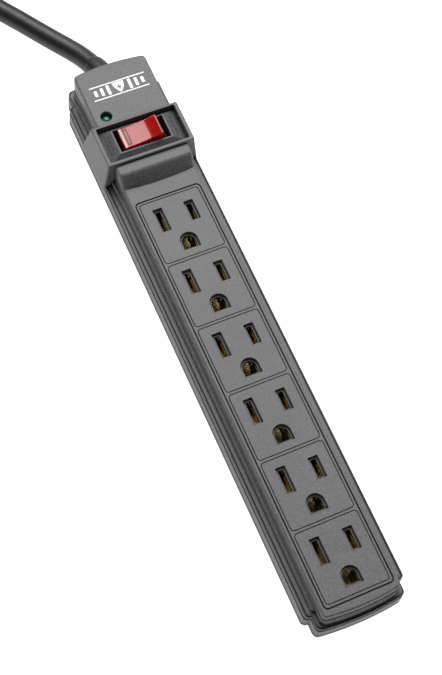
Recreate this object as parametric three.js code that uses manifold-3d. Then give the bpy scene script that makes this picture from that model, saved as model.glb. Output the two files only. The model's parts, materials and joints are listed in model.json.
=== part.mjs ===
// Six-outlet surge protector strip with its power cord and plug.
// Units are millimetres. +X runs across the strip, +Y along it towards the cord, +Z up.
// The origin is the middle of the housing's footprint, on the surface that it stands on.

import * as THREE from 'three';
import { mergeVertices } from 'three/addons/utils/BufferGeometryUtils.js';
import Module from 'manifold-3d';

// ---- driving dimensions ----------------------------------------------------------------

const GAP = 0.3; // clearance between neighbouring pieces
const WALL = 2.0; // housing wall

const END_BOW = 1.2; // how far an end's middle stands ahead of its corners
const TRAY_TOP = 2.0;

// Stepped sides of the top cover, from the foot up to the outlet deck.
const STEP_1 = { top: 9.0, sideHalf: 19.9, sideY: 114.6, endHalf: 17.6, endLength: 121.25 };
const STEP_2 = { top: 10.2, sideHalf: 18.5, sideY: 113.9, endHalf: 17.0, endLength: 120.45 };
const STEP_3 = { top: 12.8, sideHalf: 16.8, sideY: 112.8, endHalf: 15.4, endLength: 119.2 };
const DECK = { top: 17.8, half: 15.2, length: 119.0 };
const CORNER = 2.0; // corner radius of the housing in plan

const HEAD = { top: 23.1, half: 15.1, foot: 64.85, crest: 68.25, back: 118.75 };
const COLLAR = {
  top: 24.6,
  topHalf: 18.0,
  footHalf: 19.9,
  front: 72.9,
  back: 91.5,
  backFoot: 95.6,
};
const RECESS = { half: 16.5, front: 74.4, back: 90.35, ledge: 19.5 };
const SWITCH_WELL = { half: 12.2, front: 76.6, floor: 12 }; // opening under the recess for the switch
const FAR = 40; // past every face, for tools that cut right through

const OUTLETS = 6;
const PITCH = 28.575; // outlet spacing
const FIRST_SLOTS = 47.29; // Y of the blade slots nearest the switch
const BLADE_X = 6.35; // half the 12.7 mm blade spacing
const GROUND_DROP = 11.89; // ground hole below the line of the blade slots
const PANEL = { half: 12.45, above: 8.95, below: 18.5, corner: 1.3, thick: 2.9 };
const FUNNEL = 1.2; // depth of the lead-in around each slot
// The neutral slot is the longer one; each has a wide mouth and a narrow throat.
const SLOTS = [
  { x: -BLADE_X, mouth: 10.48, throat: 8.9 },
  { x: BLADE_X, mouth: 8.86, throat: 7.3 },
];
const SLOT_MOUTH = 1.95; // half widths
const SLOT_THROAT = 1.15;
const GROUND_MOUTH = 3.6;
const GROUND_THROAT = 2.8;

const SWITCH_Y = 83.2;
const PIVOT_Z = 18.5; // rocker axle height
const REST_TILT = 9; // degrees, left end pressed in
const AXLE_RADIUS = 1.0;
const ARM_TILT = 8; // degrees, contact closed
const ARM_Z = 8.3;
const LAMP = { x: -10, y: 95.65, hole: 2.3, lens: 1.9 };
const SCREW = { boss: 2.9, shank: 1.5, head: 2.65, headFoot: 0.25, headTop: 1.3, end: 6.6 };

const CORD_RADIUS = 4.3;
const RELIEF = { back: 111.6, shoulder: 116.0, flange: 6.1, neck: 5.5, end: 120 };
const CORD_Z = 7.6; // height of the cord where it leaves the housing
const CORD_REST = 4.33; // height of the cord's middle where it lies on the surface
// The hank: two folded turns, one above the other, whose long runs lie along Y.
const HANK = { x: -9.1, y: 220, run: 81.1, fold: 26, low: 5.4, rise: 8.7, turns: 2 };
const PLUG_Z = 10.75;

const wasm = await Module();
wasm.setup();

// ---- materials --------------------------------------------------------------------------

const finish = (color, roughness, metalness = 0) =>
  new THREE.MeshStandardMaterial({ color, roughness, metalness });

const GREY = finish(0x6f6e72, 0.55);
const DARK_GREY = finish(0x58575b, 0.5);
const BLACK = finish(0x232326, 0.6);
const RED = finish(0xb01c22, 0.15);
const GREEN = finish(0x1c7a4a, 0.2);
const BRASS = finish(0xc9a24a, 0.3, 1);
const STEEL = finish(0xa9abae, 0.35, 1);
const BOARD_GREEN = finish(0x2e6b3f, 0.5);
const BLUE = finish(0x2a5fa8, 0.45);
const YELLOW = finish(0xd8b33a, 0.45);
const TAN = finish(0xc9b58a, 0.5);
const WHITE = finish(0xe6e4de, 0.5);
const NYLON = finish(0xbfb9a6, 0.6);
const WIRE_GREEN = finish(0x2f8a4b, 0.5);

// ---- geometry helpers -------------------------------------------------------------------

const degrees = (value) => (value * Math.PI) / 180;

function solid(geometry) {
  const bare = new THREE.BufferGeometry();
  bare.setAttribute('position', geometry.getAttribute('position').clone());
  if (geometry.index) bare.setIndex(geometry.index.clone());
  const merged = mergeVertices(bare, 1e-4);
  const vertProperties = new Float32Array(merged.getAttribute('position').array);
  const triVerts = new Uint32Array(merged.index.array);
  return new wasm.Manifold(new wasm.Mesh({ numProp: 3, vertProperties, triVerts }));
}

function geometryOf(body) {
  const mesh = body.getMesh();
  const geometry = new THREE.BufferGeometry();
  geometry.setAttribute('position', new THREE.BufferAttribute(mesh.vertProperties, 3));
  geometry.setIndex(new THREE.BufferAttribute(mesh.triVerts, 1));
  geometry.computeVertexNormals();
  return geometry;
}

const join = (...bodies) => bodies.reduce((whole, body) => whole.add(body));
const cut = (body, ...tools) => tools.reduce((left, tool) => left.subtract(tool), body);

function block(x0, x1, y0, y1, z0, z1) {
  const geometry = new THREE.BoxGeometry(x1 - x0, y1 - y0, z1 - z0);
  geometry.translate((x0 + x1) / 2, (y0 + y1) / 2, (z0 + z1) / 2);
  return solid(geometry);
}

// A plan outline raised from z0 to z1.
function slab(shape, z0, z1, curveSegments = 3) {
  const geometry = new THREE.ExtrudeGeometry(shape, {
    depth: z1 - z0,
    bevelEnabled: false,
    curveSegments,
  });
  geometry.translate(0, 0, z0);
  return solid(geometry);
}

// A profile in the XZ plane, run along Y from y0 to y1.
function alongY(shape, y0, y1, curveSegments = 6) {
  const geometry = new THREE.ExtrudeGeometry(shape, {
    depth: y1 - y0,
    bevelEnabled: false,
    curveSegments,
  });
  geometry.rotateX(Math.PI / 2);
  geometry.translate(0, y1, 0);
  return solid(geometry);
}

// A profile in the YZ plane, run along X from x0 to x1.
function alongX(shape, x0, x1, curveSegments = 6) {
  const geometry = new THREE.ExtrudeGeometry(shape, {
    depth: x1 - x0,
    bevelEnabled: false,
    curveSegments,
  });
  geometry.rotateZ(Math.PI / 2);
  geometry.rotateY(Math.PI / 2);
  geometry.translate(x0, 0, 0);
  return solid(geometry);
}

function polygon(points) {
  return new THREE.Shape(points.map(([x, y]) => new THREE.Vector2(x, y)));
}

function roundedBox(x0, x1, y0, y1, radius) {
  const shape = new THREE.Shape();
  shape.moveTo(x0 + radius, y0);
  shape.lineTo(x1 - radius, y0);
  shape.quadraticCurveTo(x1, y0, x1, y0 + radius);
  shape.lineTo(x1, y1 - radius);
  shape.quadraticCurveTo(x1, y1, x1 - radius, y1);
  shape.lineTo(x0 + radius, y1);
  shape.quadraticCurveTo(x0, y1, x0, y1 - radius);
  shape.lineTo(x0, y0 + radius);
  shape.quadraticCurveTo(x0, y0, x0 + radius, y0);
  return shape;
}

// A long outline whose two ends are bowed outwards.
function bowedBox(half, length) {
  const shape = new THREE.Shape();
  const side = half - CORNER;
  const end = length - END_BOW;
  const pull = length + END_BOW; // a curve's control point stands twice as far out as its middle
  shape.moveTo(-side, -end);
  shape.quadraticCurveTo(0, -pull, side, -end);
  shape.quadraticCurveTo(half, -end, half, -end + CORNER);
  shape.lineTo(half, end - CORNER);
  shape.quadraticCurveTo(half, end, side, end);
  shape.quadraticCurveTo(0, pull, -side, end);
  shape.quadraticCurveTo(-half, end, -half, end - CORNER);
  shape.lineTo(-half, -end + CORNER);
  shape.quadraticCurveTo(-half, -end, -side, -end);
  return shape;
}

// A round post along Z, or along another axis once turned.
function post(x, y, z0, z1, radius, topRadius = radius, sides = 12) {
  const geometry = new THREE.CylinderGeometry(topRadius, radius, z1 - z0, sides);
  geometry.rotateX(Math.PI / 2);
  geometry.translate(x, y, (z0 + z1) / 2);
  return solid(geometry);
}

function rodAlongY(x, z, y0, y1, radius, farRadius = radius, sides = 12) {
  const geometry = new THREE.CylinderGeometry(farRadius, radius, y1 - y0, sides);
  geometry.translate(x, (y0 + y1) / 2, z);
  return solid(geometry);
}

// A profile of [radius, position] pairs turned about the Y axis.
function turnedAlongY(profile, x, z, sides = 12) {
  const points = profile.map(([radius, y]) => new THREE.Vector2(radius, y));
  const geometry = new THREE.LatheGeometry(points, sides);
  geometry.translate(x, 0, z);
  return solid(geometry);
}

const curveThrough = (points) =>
  new THREE.CatmullRomCurve3(points.map(([x, y, z]) => new THREE.Vector3(x, y, z)));

// A round tube along a curve; radiusAt may taper it, from 0 at its start to 1 at its end.
function tube(curve, radius, steps, sides = 8, radiusAt = null) {
  const section = new THREE.Shape();
  for (let i = 0; i < sides; i += 1) {
    const angle = (i / sides) * 2 * Math.PI;
    const point = [radius * Math.cos(angle), radius * Math.sin(angle)];
    if (i === 0) section.moveTo(...point);
    else section.lineTo(...point);
  }
  const geometry = new THREE.ExtrudeGeometry(section, { steps, extrudePath: curve, curveSegments: 1 });
  if (radiusAt) taper(geometry, curve.getSpacedPoints(steps), radius, radiusAt);
  return solid(geometry);
}

// Every ring of a tube lies about its own centre, so each corner is scaled from the nearest one.
function taper(geometry, centres, radius, radiusAt) {
  const position = geometry.getAttribute('position');
  const corner = new THREE.Vector3();
  for (let i = 0; i < position.count; i += 1) {
    corner.fromBufferAttribute(position, i);
    let nearest = 0;
    centres.forEach((centre, k) => {
      if (centre.distanceTo(corner) < centres[nearest].distanceTo(corner)) nearest = k;
    });
    const scale = radiusAt(nearest / (centres.length - 1)) / radius;
    corner.sub(centres[nearest]).multiplyScalar(scale).add(centres[nearest]);
    position.setXYZ(i, corner.x, corner.y, corner.z);
  }
}

const strip = new THREE.Group();

function place(name, body, material, parent = strip) {
  const mesh = new THREE.Mesh(geometryOf(body), material);
  mesh.name = name;
  parent.add(mesh);
  return mesh;
}

// ---- housing ----------------------------------------------------------------------------

const slotLine = (index) => FIRST_SLOTS - index * PITCH;

const KEYHOLE_Y = [-100, 75.5]; // middles of the keyholes' round ends
const KEYHOLE = { head: 4.2, slot: 2.3, reach: 8.5 };

const SCREWS = [
  [-14.3, -100],
  [14.3, -100],
  [-14.3, 58],
  [14.3, 58],
  [-12.6, 110.6],
  [12.6, 110.6],
];

function sideOutline(step, inset = 0) {
  const half = step.sideHalf - inset;
  const length = step.sideY - inset;
  return roundedBox(-half, half, -length, length, CORNER);
}

const endOutline = (step, inset = 0) => bowedBox(step.endHalf - inset, step.endLength - inset);

// The raised end; an inset makes the hollow inside it, set back further along its slope.
function headBlock(inset) {
  const top = HEAD.top - inset;
  const root = DECK.top - 5;
  const slopeFoot = HEAD.foot + inset * 1.5;
  const profile = polygon([
    [slopeFoot, root],
    [HEAD.back - inset, root],
    [HEAD.back - inset, top],
    [HEAD.crest + inset, top],
    [slopeFoot, DECK.top - inset],
  ]);
  const wedge = alongX(profile, -HEAD.half + inset, HEAD.half - inset);
  return wedge.intersect(slab(bowedBox(HEAD.half - inset, HEAD.back - inset), 0, FAR));
}

function collarBlock() {
  const root = STEP_1.top - 1;
  const across = polygon([
    [-COLLAR.footHalf, root],
    [COLLAR.footHalf, root],
    [COLLAR.topHalf, COLLAR.top],
    [-COLLAR.topHalf, COLLAR.top],
  ]);
  const along = polygon([
    [COLLAR.front, root],
    [COLLAR.backFoot, root],
    [COLLAR.back, COLLAR.top],
    [COLLAR.front + 0.3, COLLAR.top],
  ]);
  return alongY(across, COLLAR.front, COLLAR.backFoot).intersect(alongX(along, -FAR, FAR));
}

function panelWindow(index, grow, z0, z1) {
  const y = slotLine(index);
  const half = PANEL.half + grow;
  const outline = roundedBox(-half, half, y - PANEL.below - grow, y + PANEL.above + grow, PANEL.corner);
  return slab(outline, z0, z1);
}

function coverOutside() {
  const foot = TRAY_TOP + GAP;
  return join(
    slab(sideOutline(STEP_1), foot, STEP_1.top),
    slab(endOutline(STEP_1), foot, STEP_1.top),
    slab(sideOutline(STEP_2), foot, STEP_2.top),
    slab(endOutline(STEP_2), foot, STEP_2.top),
    slab(sideOutline(STEP_3), foot, STEP_3.top),
    slab(bowedBox(DECK.half, DECK.length), foot, DECK.top),
    headBlock(0),
    collarBlock(),
  );
}

function coverInside() {
  const foot = TRAY_TOP - 1;
  return join(
    slab(sideOutline(STEP_1, WALL), foot, STEP_1.top - WALL),
    slab(endOutline(STEP_1, WALL), foot, STEP_1.top - WALL),
    slab(sideOutline(STEP_3, WALL), foot, STEP_3.top - WALL),
    slab(bowedBox(DECK.half - WALL, DECK.length - WALL), foot, DECK.top - WALL),
    headBlock(WALL),
    block(-RECESS.half, RECESS.half, RECESS.front, RECESS.back, RECESS.ledge, FAR),
    block(
      -SWITCH_WELL.half,
      SWITCH_WELL.half,
      SWITCH_WELL.front,
      RECESS.back,
      SWITCH_WELL.floor,
      RECESS.ledge + 1,
    ),
  );
}

function topCover() {
  let cover = coverOutside().subtract(coverInside());
  for (let i = 0; i < OUTLETS; i += 1) {
    cover = cut(cover, panelWindow(i, GAP / 2, STEP_2.top, FAR));
  }
  for (const [x, y] of SCREWS) {
    const boss = post(x, y, TRAY_TOP + GAP, STEP_1.top - 1, SCREW.boss);
    cover = cut(cover.add(boss), post(x, y, 0, STEP_1.top - 2, SCREW.shank + GAP));
  }
  return cut(
    cover,
    post(LAMP.x, LAMP.y, DECK.top, FAR, LAMP.hole, LAMP.hole, 16),
    rodAlongY(0, CORD_Z, RELIEF.back, STEP_1.endLength + 1, RELIEF.neck + GAP + 0.1),
  );
}

// The first step's plan, inset all round and raised from z0 to z1.
const footSlab = (inset, z0, z1) =>
  join(slab(sideOutline(STEP_1, inset), z0, z1), slab(endOutline(STEP_1, inset), z0, z1));

// The tray that closes the housing from below, with a lip that stands inside the cover's wall.
function bottomCover() {
  const inset = 0.35;
  const lip = WALL + GAP;
  const lipThick = 1.2;
  const lipTop = 4.4;
  const through = TRAY_TOP + 1;
  const rim = cut(footSlab(lip, TRAY_TOP - 0.5, lipTop), footSlab(lip + lipThick, 0.5, lipTop + 1));
  let tray = footSlab(inset, 0, TRAY_TOP).add(rim);
  for (const [x, y] of SCREWS) {
    tray = cut(
      tray,
      post(x, y, TRAY_TOP - 0.2, lipTop + 1, SCREW.boss + GAP + 0.25),
      post(x, y, -1, through, SCREW.shank + GAP),
      post(x, y, -0.5, 1.2, SCREW.head + 0.95, SCREW.shank + 0.1, 16),
    );
  }
  for (const y of KEYHOLE_Y) {
    tray = cut(
      tray,
      post(0, y, -1, through, KEYHOLE.head, KEYHOLE.head, 16),
      block(-KEYHOLE.slot, KEYHOLE.slot, y, y + KEYHOLE.reach, -1, through),
    );
  }
  return cut(tray, rodAlongY(0, CORD_Z, RELIEF.back - 1, STEP_1.endLength + 1, RELIEF.flange + 0.6));
}

// One face panel per outlet, with two blade slots and a D-shaped ground hole.
function outletFace(index) {
  const y = slotLine(index);
  const top = DECK.top;
  let face = panelWindow(index, -GAP / 2, top - PANEL.thick, top);
  for (const { x, mouth, throat } of SLOTS) {
    face = cut(
      face,
      block(x - SLOT_MOUTH, x + SLOT_MOUTH, y - mouth / 2, y + mouth / 2, top - FUNNEL, top + 1),
      block(x - SLOT_THROAT, x + SLOT_THROAT, y - throat / 2, y + throat / 2, 0, top),
    );
  }
  return cut(
    face,
    groundHole(y, GROUND_MOUTH, top - FUNNEL, top + 1),
    groundHole(y, GROUND_THROAT, 0, top),
  );
}

function groundHole(y, radius, z0, z1) {
  const shape = new THREE.Shape();
  const centre = y - GROUND_DROP;
  shape.moveTo(-radius, centre - radius);
  shape.lineTo(radius, centre - radius);
  shape.lineTo(radius, centre);
  shape.absarc(0, centre, radius, 0, Math.PI, false);
  return slab(shape, z0, z1, 8);
}

place('top_cover', topCover(), GREY);
place('bottom_cover', bottomCover(), GREY);
for (let i = 0; i < OUTLETS; i += 1) {
  place(`outlet_face_${i + 1}`, outletFace(i), GREY);
}
SCREWS.forEach(([x, y], index) => {
  const shank = post(x, y, SCREW.headFoot + 0.35, SCREW.end, SCREW.shank, SCREW.shank - 0.2, 10);
  const head = post(x, y, SCREW.headFoot, SCREW.headTop, SCREW.head, SCREW.shank - 0.1, 12);
  const arm = 1.5;
  const narrow = 0.3;
  const driveTop = 0.8;
  const drive = join(
    block(x - arm, x + arm, y - narrow, y + narrow, 0, driveTop),
    block(x - narrow, x + narrow, y - arm, y + arm, 0, driveTop),
  );
  place(`housing_screw_${index + 1}`, cut(head.add(shank), drive), STEEL);
});

// ---- contacts under the outlets ---------------------------------------------------------

const BUS_NEAR = -110.4;
const BUS_FAR = 63.5;
const BUS_Z = 5.0;
const BUS_THICK = 0.8;
const LEAF = { thick: 0.5, waist: 12.9, top: 14.3 }; // the spring contacts' leaves

// An insulating plate under the three bars, with fences between them.
function contactCarrier() {
  const near = BUS_NEAR - 1;
  const far = BUS_FAR - 2;
  const half = 10.5;
  const fenceHalf = 0.4;
  const fenceTop = 7.4;
  let carrier = block(-half, half, near, far, TRAY_TOP + 0.6, BUS_Z - GAP);
  for (const x of [fenceHalf - half, -3.75, 3.75, half - fenceHalf]) {
    carrier = carrier.add(block(x - fenceHalf, x + fenceHalf, near, far, BUS_Z - 1, fenceTop));
  }
  const roomHalf = 3.2;
  const screwHeadRoom = block(-roomHalf, roomHalf, near - 1, KEYHOLE_Y[0] + 11, 0, BUS_Z);
  return carrier.subtract(screwHeadRoom);
}

// Two spring leaves that grip a blade or pin, as one bent strip.
function springPair(x, y0, y1, grip, flare) {
  const outer = grip + LEAF.thick;
  const inside = BUS_Z + BUS_THICK;
  const profile = polygon([
    [x - outer, BUS_Z],
    [x + outer, BUS_Z],
    [x + outer, LEAF.waist],
    [x + flare + LEAF.thick, LEAF.top],
    [x + flare, LEAF.top],
    [x + grip, LEAF.waist],
    [x + grip, inside],
    [x - grip, inside],
    [x - grip, LEAF.waist],
    [x - flare, LEAF.top],
    [x - flare - LEAF.thick, LEAF.top],
    [x - outer, LEAF.waist],
  ]);
  return alongY(profile, y0, y1);
}

// A brass bar with a spring contact for each outlet.
function busBar({ x, half, drop, grip, flare, length }) {
  let bar = block(x - half, x + half, BUS_NEAR, BUS_FAR, BUS_Z, BUS_Z + BUS_THICK);
  for (let i = 0; i < OUTLETS; i += 1) {
    const y = slotLine(i) - drop;
    bar = bar.add(springPair(x, y - length / 2, y + length / 2, grip, flare));
  }
  return bar;
}

const BLADE_BUS = { half: 1.7, drop: 0, grip: 0.85, flare: 1.6 };
const PIN_BUS = { x: 0, half: 2.9, drop: GROUND_DROP, grip: 2.3, flare: 2.7, length: 4.6 };

place('contact_carrier', contactCarrier(), NYLON);
place('neutral_bus', busBar({ ...BLADE_BUS, x: -BLADE_X, length: 7 }), BRASS);
place('hot_bus', busBar({ ...BLADE_BUS, x: BLADE_X, length: 6 }), BRASS);
place('ground_bus', busBar(PIN_BUS), BRASS);

// ---- rocker switch ----------------------------------------------------------------------

const BEZEL = {
  bottom: 20.05,
  edgeTop: 21.55,
  mouthTop: 23.4,
  mouthHalf: 10.5,
  front: 78.2,
  back: 88.25,
};

// A shallow frame whose faces rise towards the rocker's opening.
function switchBezel() {
  const half = RECESS.half - GAP;
  const front = RECESS.front + GAP;
  const back = RECESS.back - GAP;
  const lip = 0.5;
  const frameBody = block(-half, half, front, back, BEZEL.bottom, BEZEL.mouthTop);
  const rise = polygon([
    [-half, BEZEL.bottom],
    [half, BEZEL.bottom],
    [half, BEZEL.edgeTop],
    [BEZEL.mouthHalf + lip, BEZEL.mouthTop],
    [-BEZEL.mouthHalf - lip, BEZEL.mouthTop],
    [-half, BEZEL.edgeTop],
  ]);
  const riseAlong = polygon([
    [front, BEZEL.bottom],
    [back, BEZEL.bottom],
    [back, BEZEL.edgeTop + 0.6],
    [BEZEL.back + lip, BEZEL.mouthTop],
    [BEZEL.front - lip, BEZEL.mouthTop],
    [front, BEZEL.edgeTop],
  ]);
  return cut(
    frameBody.intersect(alongY(rise, front - 1, back + 1)).intersect(alongX(riseAlong, -half, half)),
    block(-BEZEL.mouthHalf, BEZEL.mouthHalf, BEZEL.front, BEZEL.back, 0, FAR),
  );
}

// Sizes about the rocker's axle.
const ROCKER = {
  half: 8.4,
  rise: 6.95,
  dish: 0.66,
  width: 9.25,
  footHalf: 9.3,
  foot: -1.8,
  waistHalf: 9.85,
  waist: 1.4,
  edge: 0.3,
};
const BOSS = { radius: 2.4, bottom: -4.6 }; // the post under the rocker that holds the plunger
const PLUNGER = { radius: 1.6, top: -5.2, shoulder: -8.2, tip: -9.1 };
const MARK = { x: -5.3, half: 0.6, reach: 3.5, deep: 0.75 }; // the bar moulded into the top

// The rocker's side profile, with a dished top.
function rockerBody() {
  const { half, rise, dish, width, footHalf, foot, waistHalf, waist, edge } = ROCKER;
  const shape = new THREE.Shape();
  shape.moveTo(-footHalf, foot);
  shape.lineTo(footHalf, foot);
  shape.lineTo(waistHalf, waist);
  shape.lineTo(half + edge, rise - edge);
  shape.lineTo(half, rise);
  shape.quadraticCurveTo(0, rise - 2 * dish, -half, rise);
  shape.lineTo(-half - edge, rise - edge);
  shape.lineTo(-waistHalf, waist);
  shape.lineTo(-footHalf, foot);
  const y = width / 2;
  return cut(
    join(alongY(shape, -y, y, 8), post(0, 0, BOSS.bottom, foot + 0.8, BOSS.radius)),
    rodAlongY(0, 0, -y - 1, y + 1, AXLE_RADIUS + GAP),
    block(MARK.x - MARK.half, MARK.x + MARK.half, -MARK.reach, MARK.reach, rise - MARK.deep, rise + 1),
    post(0, 0, BOSS.bottom - 0.4, BOSS.bottom + 2, PLUNGER.radius + GAP),
  );
}

// Pieces that tilt with the rocker are built about the axle and turned to their rest position.
const rocking = new THREE.Group();
rocking.position.set(0, SWITCH_Y, PIVOT_Z);
rocking.rotation.y = -degrees(REST_TILT);
strip.add(rocking);

const SPRING = { radius: 1.15, bottom: -4.85, top: -2.95, turns: 2.5, wire: 0.22 };

function helix({ radius, bottom, top, turns }) {
  const points = [];
  const steps = 24;
  for (let i = 0; i <= steps; i += 1) {
    const share = i / steps;
    const angle = share * turns * 2 * Math.PI;
    points.push([radius * Math.cos(angle), radius * Math.sin(angle), bottom + (top - bottom) * share]);
  }
  return curveThrough(points);
}

function rockerAxle() {
  const half = BOX.depth - GAP;
  return rodAlongY(0, PIVOT_Z, SWITCH_Y - half, SWITCH_Y + half, AXLE_RADIUS - 0.05);
}

function plunger() {
  const { radius, top, shoulder, tip } = PLUNGER;
  return join(
    post(0, 0, shoulder, top, radius - 0.2, radius),
    post(0, 0, tip, shoulder, 0.7, radius - 0.2),
  );
}

// The switch's box, open above, with a lug on each side that holds the axle.
const BOX = { half: 11.5, depth: 6.2, wall: 1.2, bottom: 3.4, rim: 16.2, lug: 2.6, lugTop: 19.7 };

function switchBody() {
  const { half, depth, wall, bottom, rim, lug, lugTop } = BOX;
  const front = SWITCH_Y - depth;
  const back = SWITCH_Y + depth;
  const shell = cut(
    block(-half, half, front, back, bottom, rim),
    block(wall - half, half - wall, front + wall, back - wall, bottom + wall, rim + 1),
  );
  const lugThick = wall - 0.05;
  const lugAt = (y0, y1) => block(-lug, lug, y0, y1, rim - 1, lugTop);
  const slotHalf = TERMINAL.half + GAP;
  const sideSlot = (x0, x1) => block(x0, x1, SWITCH_Y - slotHalf, SWITCH_Y + slotHalf, 4.6, 6.2);
  return cut(
    join(shell, lugAt(front, front + lugThick), lugAt(back - lugThick, back)),
    rodAlongY(0, PIVOT_Z, front - 1, back + 1, AXLE_RADIUS + 0.05),
    sideSlot(-half - 1, -half + 2),
    sideSlot(half - 2, half + 1),
  );
}

// Flat straps that enter the box through slots in its sides.
const TERMINAL = { half: 2.5, reach: 13.8, bottom: 4.9 };
const CONTACT_X = 7.5;

const terminalStrap = (x0, x1, thick) =>
  block(x0, x1, SWITCH_Y - TERMINAL.half, SWITCH_Y + TERMINAL.half, TERMINAL.bottom, TERMINAL.bottom + thick);

function lineTerminal() {
  const ridge = [
    [-0.9, 5.2],
    [0.9, 5.2],
    [0.2, 7.5],
    [-0.2, 7.5],
  ];
  const fulcrum = alongY(polygon(ridge), SWITCH_Y - TERMINAL.half, SWITCH_Y + TERMINAL.half);
  return terminalStrap(-TERMINAL.reach, 1.2, 0.8).add(fulcrum);
}

function loadTerminal() {
  const button = post(CONTACT_X, SWITCH_Y, 5.2, 5.75, 1.2);
  return terminalStrap(5.2, TERMINAL.reach, 0.6).add(button);
}

// The seesaw contact, built level about its fulcrum and turned to its closed position.
const seesaw = new THREE.Group();
seesaw.position.set(0, SWITCH_Y, ARM_Z);
seesaw.rotation.y = degrees(ARM_TILT);
strip.add(seesaw);

function contactArm() {
  const half = 2.6;
  const thick = 0.7;
  const button = post(CONTACT_X, 0, -1.0, 0, 1.1);
  return join(block(-8.2, 8.6, -half, half, -thick / 2, thick / 2), button);
}

// A thin strip that bends when it is hot and lets the switch go.
function bimetalBlade() {
  const y = SWITCH_Y + 4.3;
  return block(-9.6, 9.6, y - 0.2, y + 0.2, 11.2, 14.8);
}

place('switch_bezel', switchBezel(), DARK_GREY);
place('rocker', rockerBody(), RED, rocking);
place('rocker_plunger', plunger(), NYLON, rocking);
place('plunger_spring', tube(helix(SPRING), SPRING.wire, 30, 6), STEEL, rocking);
place('rocker_axle', rockerAxle(), STEEL);
place('switch_body', switchBody(), BLACK);
place('line_terminal', lineTerminal(), BRASS);
place('load_terminal', loadTerminal(), BRASS);
place('contact_arm', contactArm(), BRASS, seesaw);
place('bimetal_blade', bimetalBlade(), STEEL);

// ---- surge board ------------------------------------------------------------------------

const BOARD = { top: 8.0, thick: 1.6, half: 12.3, front: 93.2, back: 106.8, hole: 1.2 };
const VARISTORS = [
  { y: 95.6, colour: BLUE },
  { y: 100.1, colour: BLUE },
  { y: 104.6, colour: YELLOW },
];
const VARISTOR = { x: 7.4, radius: 4.5, thick: 3.4 };

function surgeBoard() {
  const plate = block(-BOARD.half, BOARD.half, BOARD.front, BOARD.back, BOARD.top - BOARD.thick, BOARD.top);
  return cut(plate, post(-1, BOARD.front + 2, 0, DECK.top, BOARD.hole));
}

function varistor(y) {
  const { x, radius, thick } = VARISTOR;
  return rodAlongY(x, BOARD.top + GAP + radius, y - thick / 2, y + thick / 2, radius, radius, 18);
}

// A component with round ends that lies along Y on the board.
const lyingRod = (x, y0, y1, radius) => rodAlongY(x, BOARD.top + GAP + radius + 0.1, y0, y1, radius);

function statusLed() {
  const foot = BOARD.top + GAP;
  const dome = BOARD.top + 4.6;
  return join(post(LAMP.x, LAMP.y, foot, dome, 1.5), post(LAMP.x, LAMP.y, dome, dome + 0.8, 1.5, 0.8));
}

// A light pipe with a domed end in the lamp hole.
function statusLens() {
  const bottom = 14.2;
  const neck = 20.6;
  const dome = 21.6;
  return join(
    post(LAMP.x, LAMP.y, bottom, neck, LAMP.lens, LAMP.lens, 16),
    post(LAMP.x, LAMP.y, neck, dome, LAMP.lens, LAMP.lens, 16),
    post(LAMP.x, LAMP.y, dome, dome + 0.7, LAMP.lens, LAMP.lens - 0.7, 16),
  );
}

place('surge_board', surgeBoard(), BOARD_GREEN);
VARISTORS.forEach(({ y, colour }, index) => {
  place(`varistor_${index + 1}`, varistor(y), colour);
});
place('filter_capacitor', block(-12, -4.4, 99.6, 105.6, BOARD.top + GAP, BOARD.top + 9.5), YELLOW);
place('thermal_fuse', lyingRod(-1.2, 98, 106, 1.6), TAN);
place('lamp_resistor', lyingRod(-5.6, 93.6, 98.6, 1.1), TAN);
place('status_led', statusLed(), GREEN);
place('status_lens', statusLens(), GREEN);

// ---- cord, strain relief and inner wires --------------------------------------------------

// The cord's middle line from the housing wall to the place where it reaches the hank.
const EXIT_ROUTE = [
  [0, 119, CORD_Z],
  [0, 121.5, CORD_Z],
  [-0.55, 126.5, 7.0],
  [-1.8, 131.4, 6.0],
  [-3.9, 137.2, 5.0],
  [-6.7, 142.3, 4.5],
  [-10.1, 147.3, CORD_REST],
  [-13.9, 152.8, CORD_REST],
  [-17.9, 158.7, CORD_REST],
  [-22.2, 165.1, CORD_REST],
  [-27.0, 172.0, CORD_REST],
  [-30.9, 178.8, CORD_REST],
  [-33.6, 186.2, CORD_REST],
  [-34.8, 192.3, CORD_REST],
  [-35.1, 198.5, 4.4],
  [-35.1, 205.5, 4.7],
  [-35.1, 212.5, 5.1],
  [-35.1, 220, 5.4],
];
const RELIEF_END = 3; // index of the route point where the strain relief stops

// A flange behind the wall, a neck in its hole, and a boot that tapers along the cord.
function strainRelief() {
  const { back, shoulder, flange, neck, end } = RELIEF;
  const profile = [
    [0, back],
    [flange, back],
    [flange, shoulder],
    [neck, shoulder + 0.2],
    [neck, end],
    [0, end],
  ];
  const boot = curveThrough(EXIT_ROUTE.slice(0, RELIEF_END + 1));
  const taperTo = 0.75;
  return turnedAlongY(profile, 0, CORD_Z).add(tube(boot, neck, 8, 12, (t) => neck - taperTo * t));
}

function cordLead() {
  const whole = curveThrough(EXIT_ROUTE);
  const start = RELIEF_END / (EXIT_ROUTE.length - 1) + 0.004;
  const steps = 30;
  const points = [];
  for (let i = 0; i <= steps; i += 1) {
    points.push(whole.getPoint(start + ((1 - start) * i) / steps).toArray());
  }
  return cut(
    tube(curveThrough(points), CORD_RADIUS, steps, 10),
    slab(stadium(HANK.fold + CORD_RADIUS + GAP), -1, topLevel, 16),
  );
}

const hankEnd = HANK.y + HANK.run;
const topLevel = HANK.low + HANK.rise * HANK.turns;

function stadium(radius) {
  const shape = new THREE.Shape();
  shape.absarc(HANK.x, hankEnd, radius, 0, Math.PI);
  shape.absarc(HANK.x, HANK.y, radius, Math.PI, 2 * Math.PI);
  return shape;
}

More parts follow.
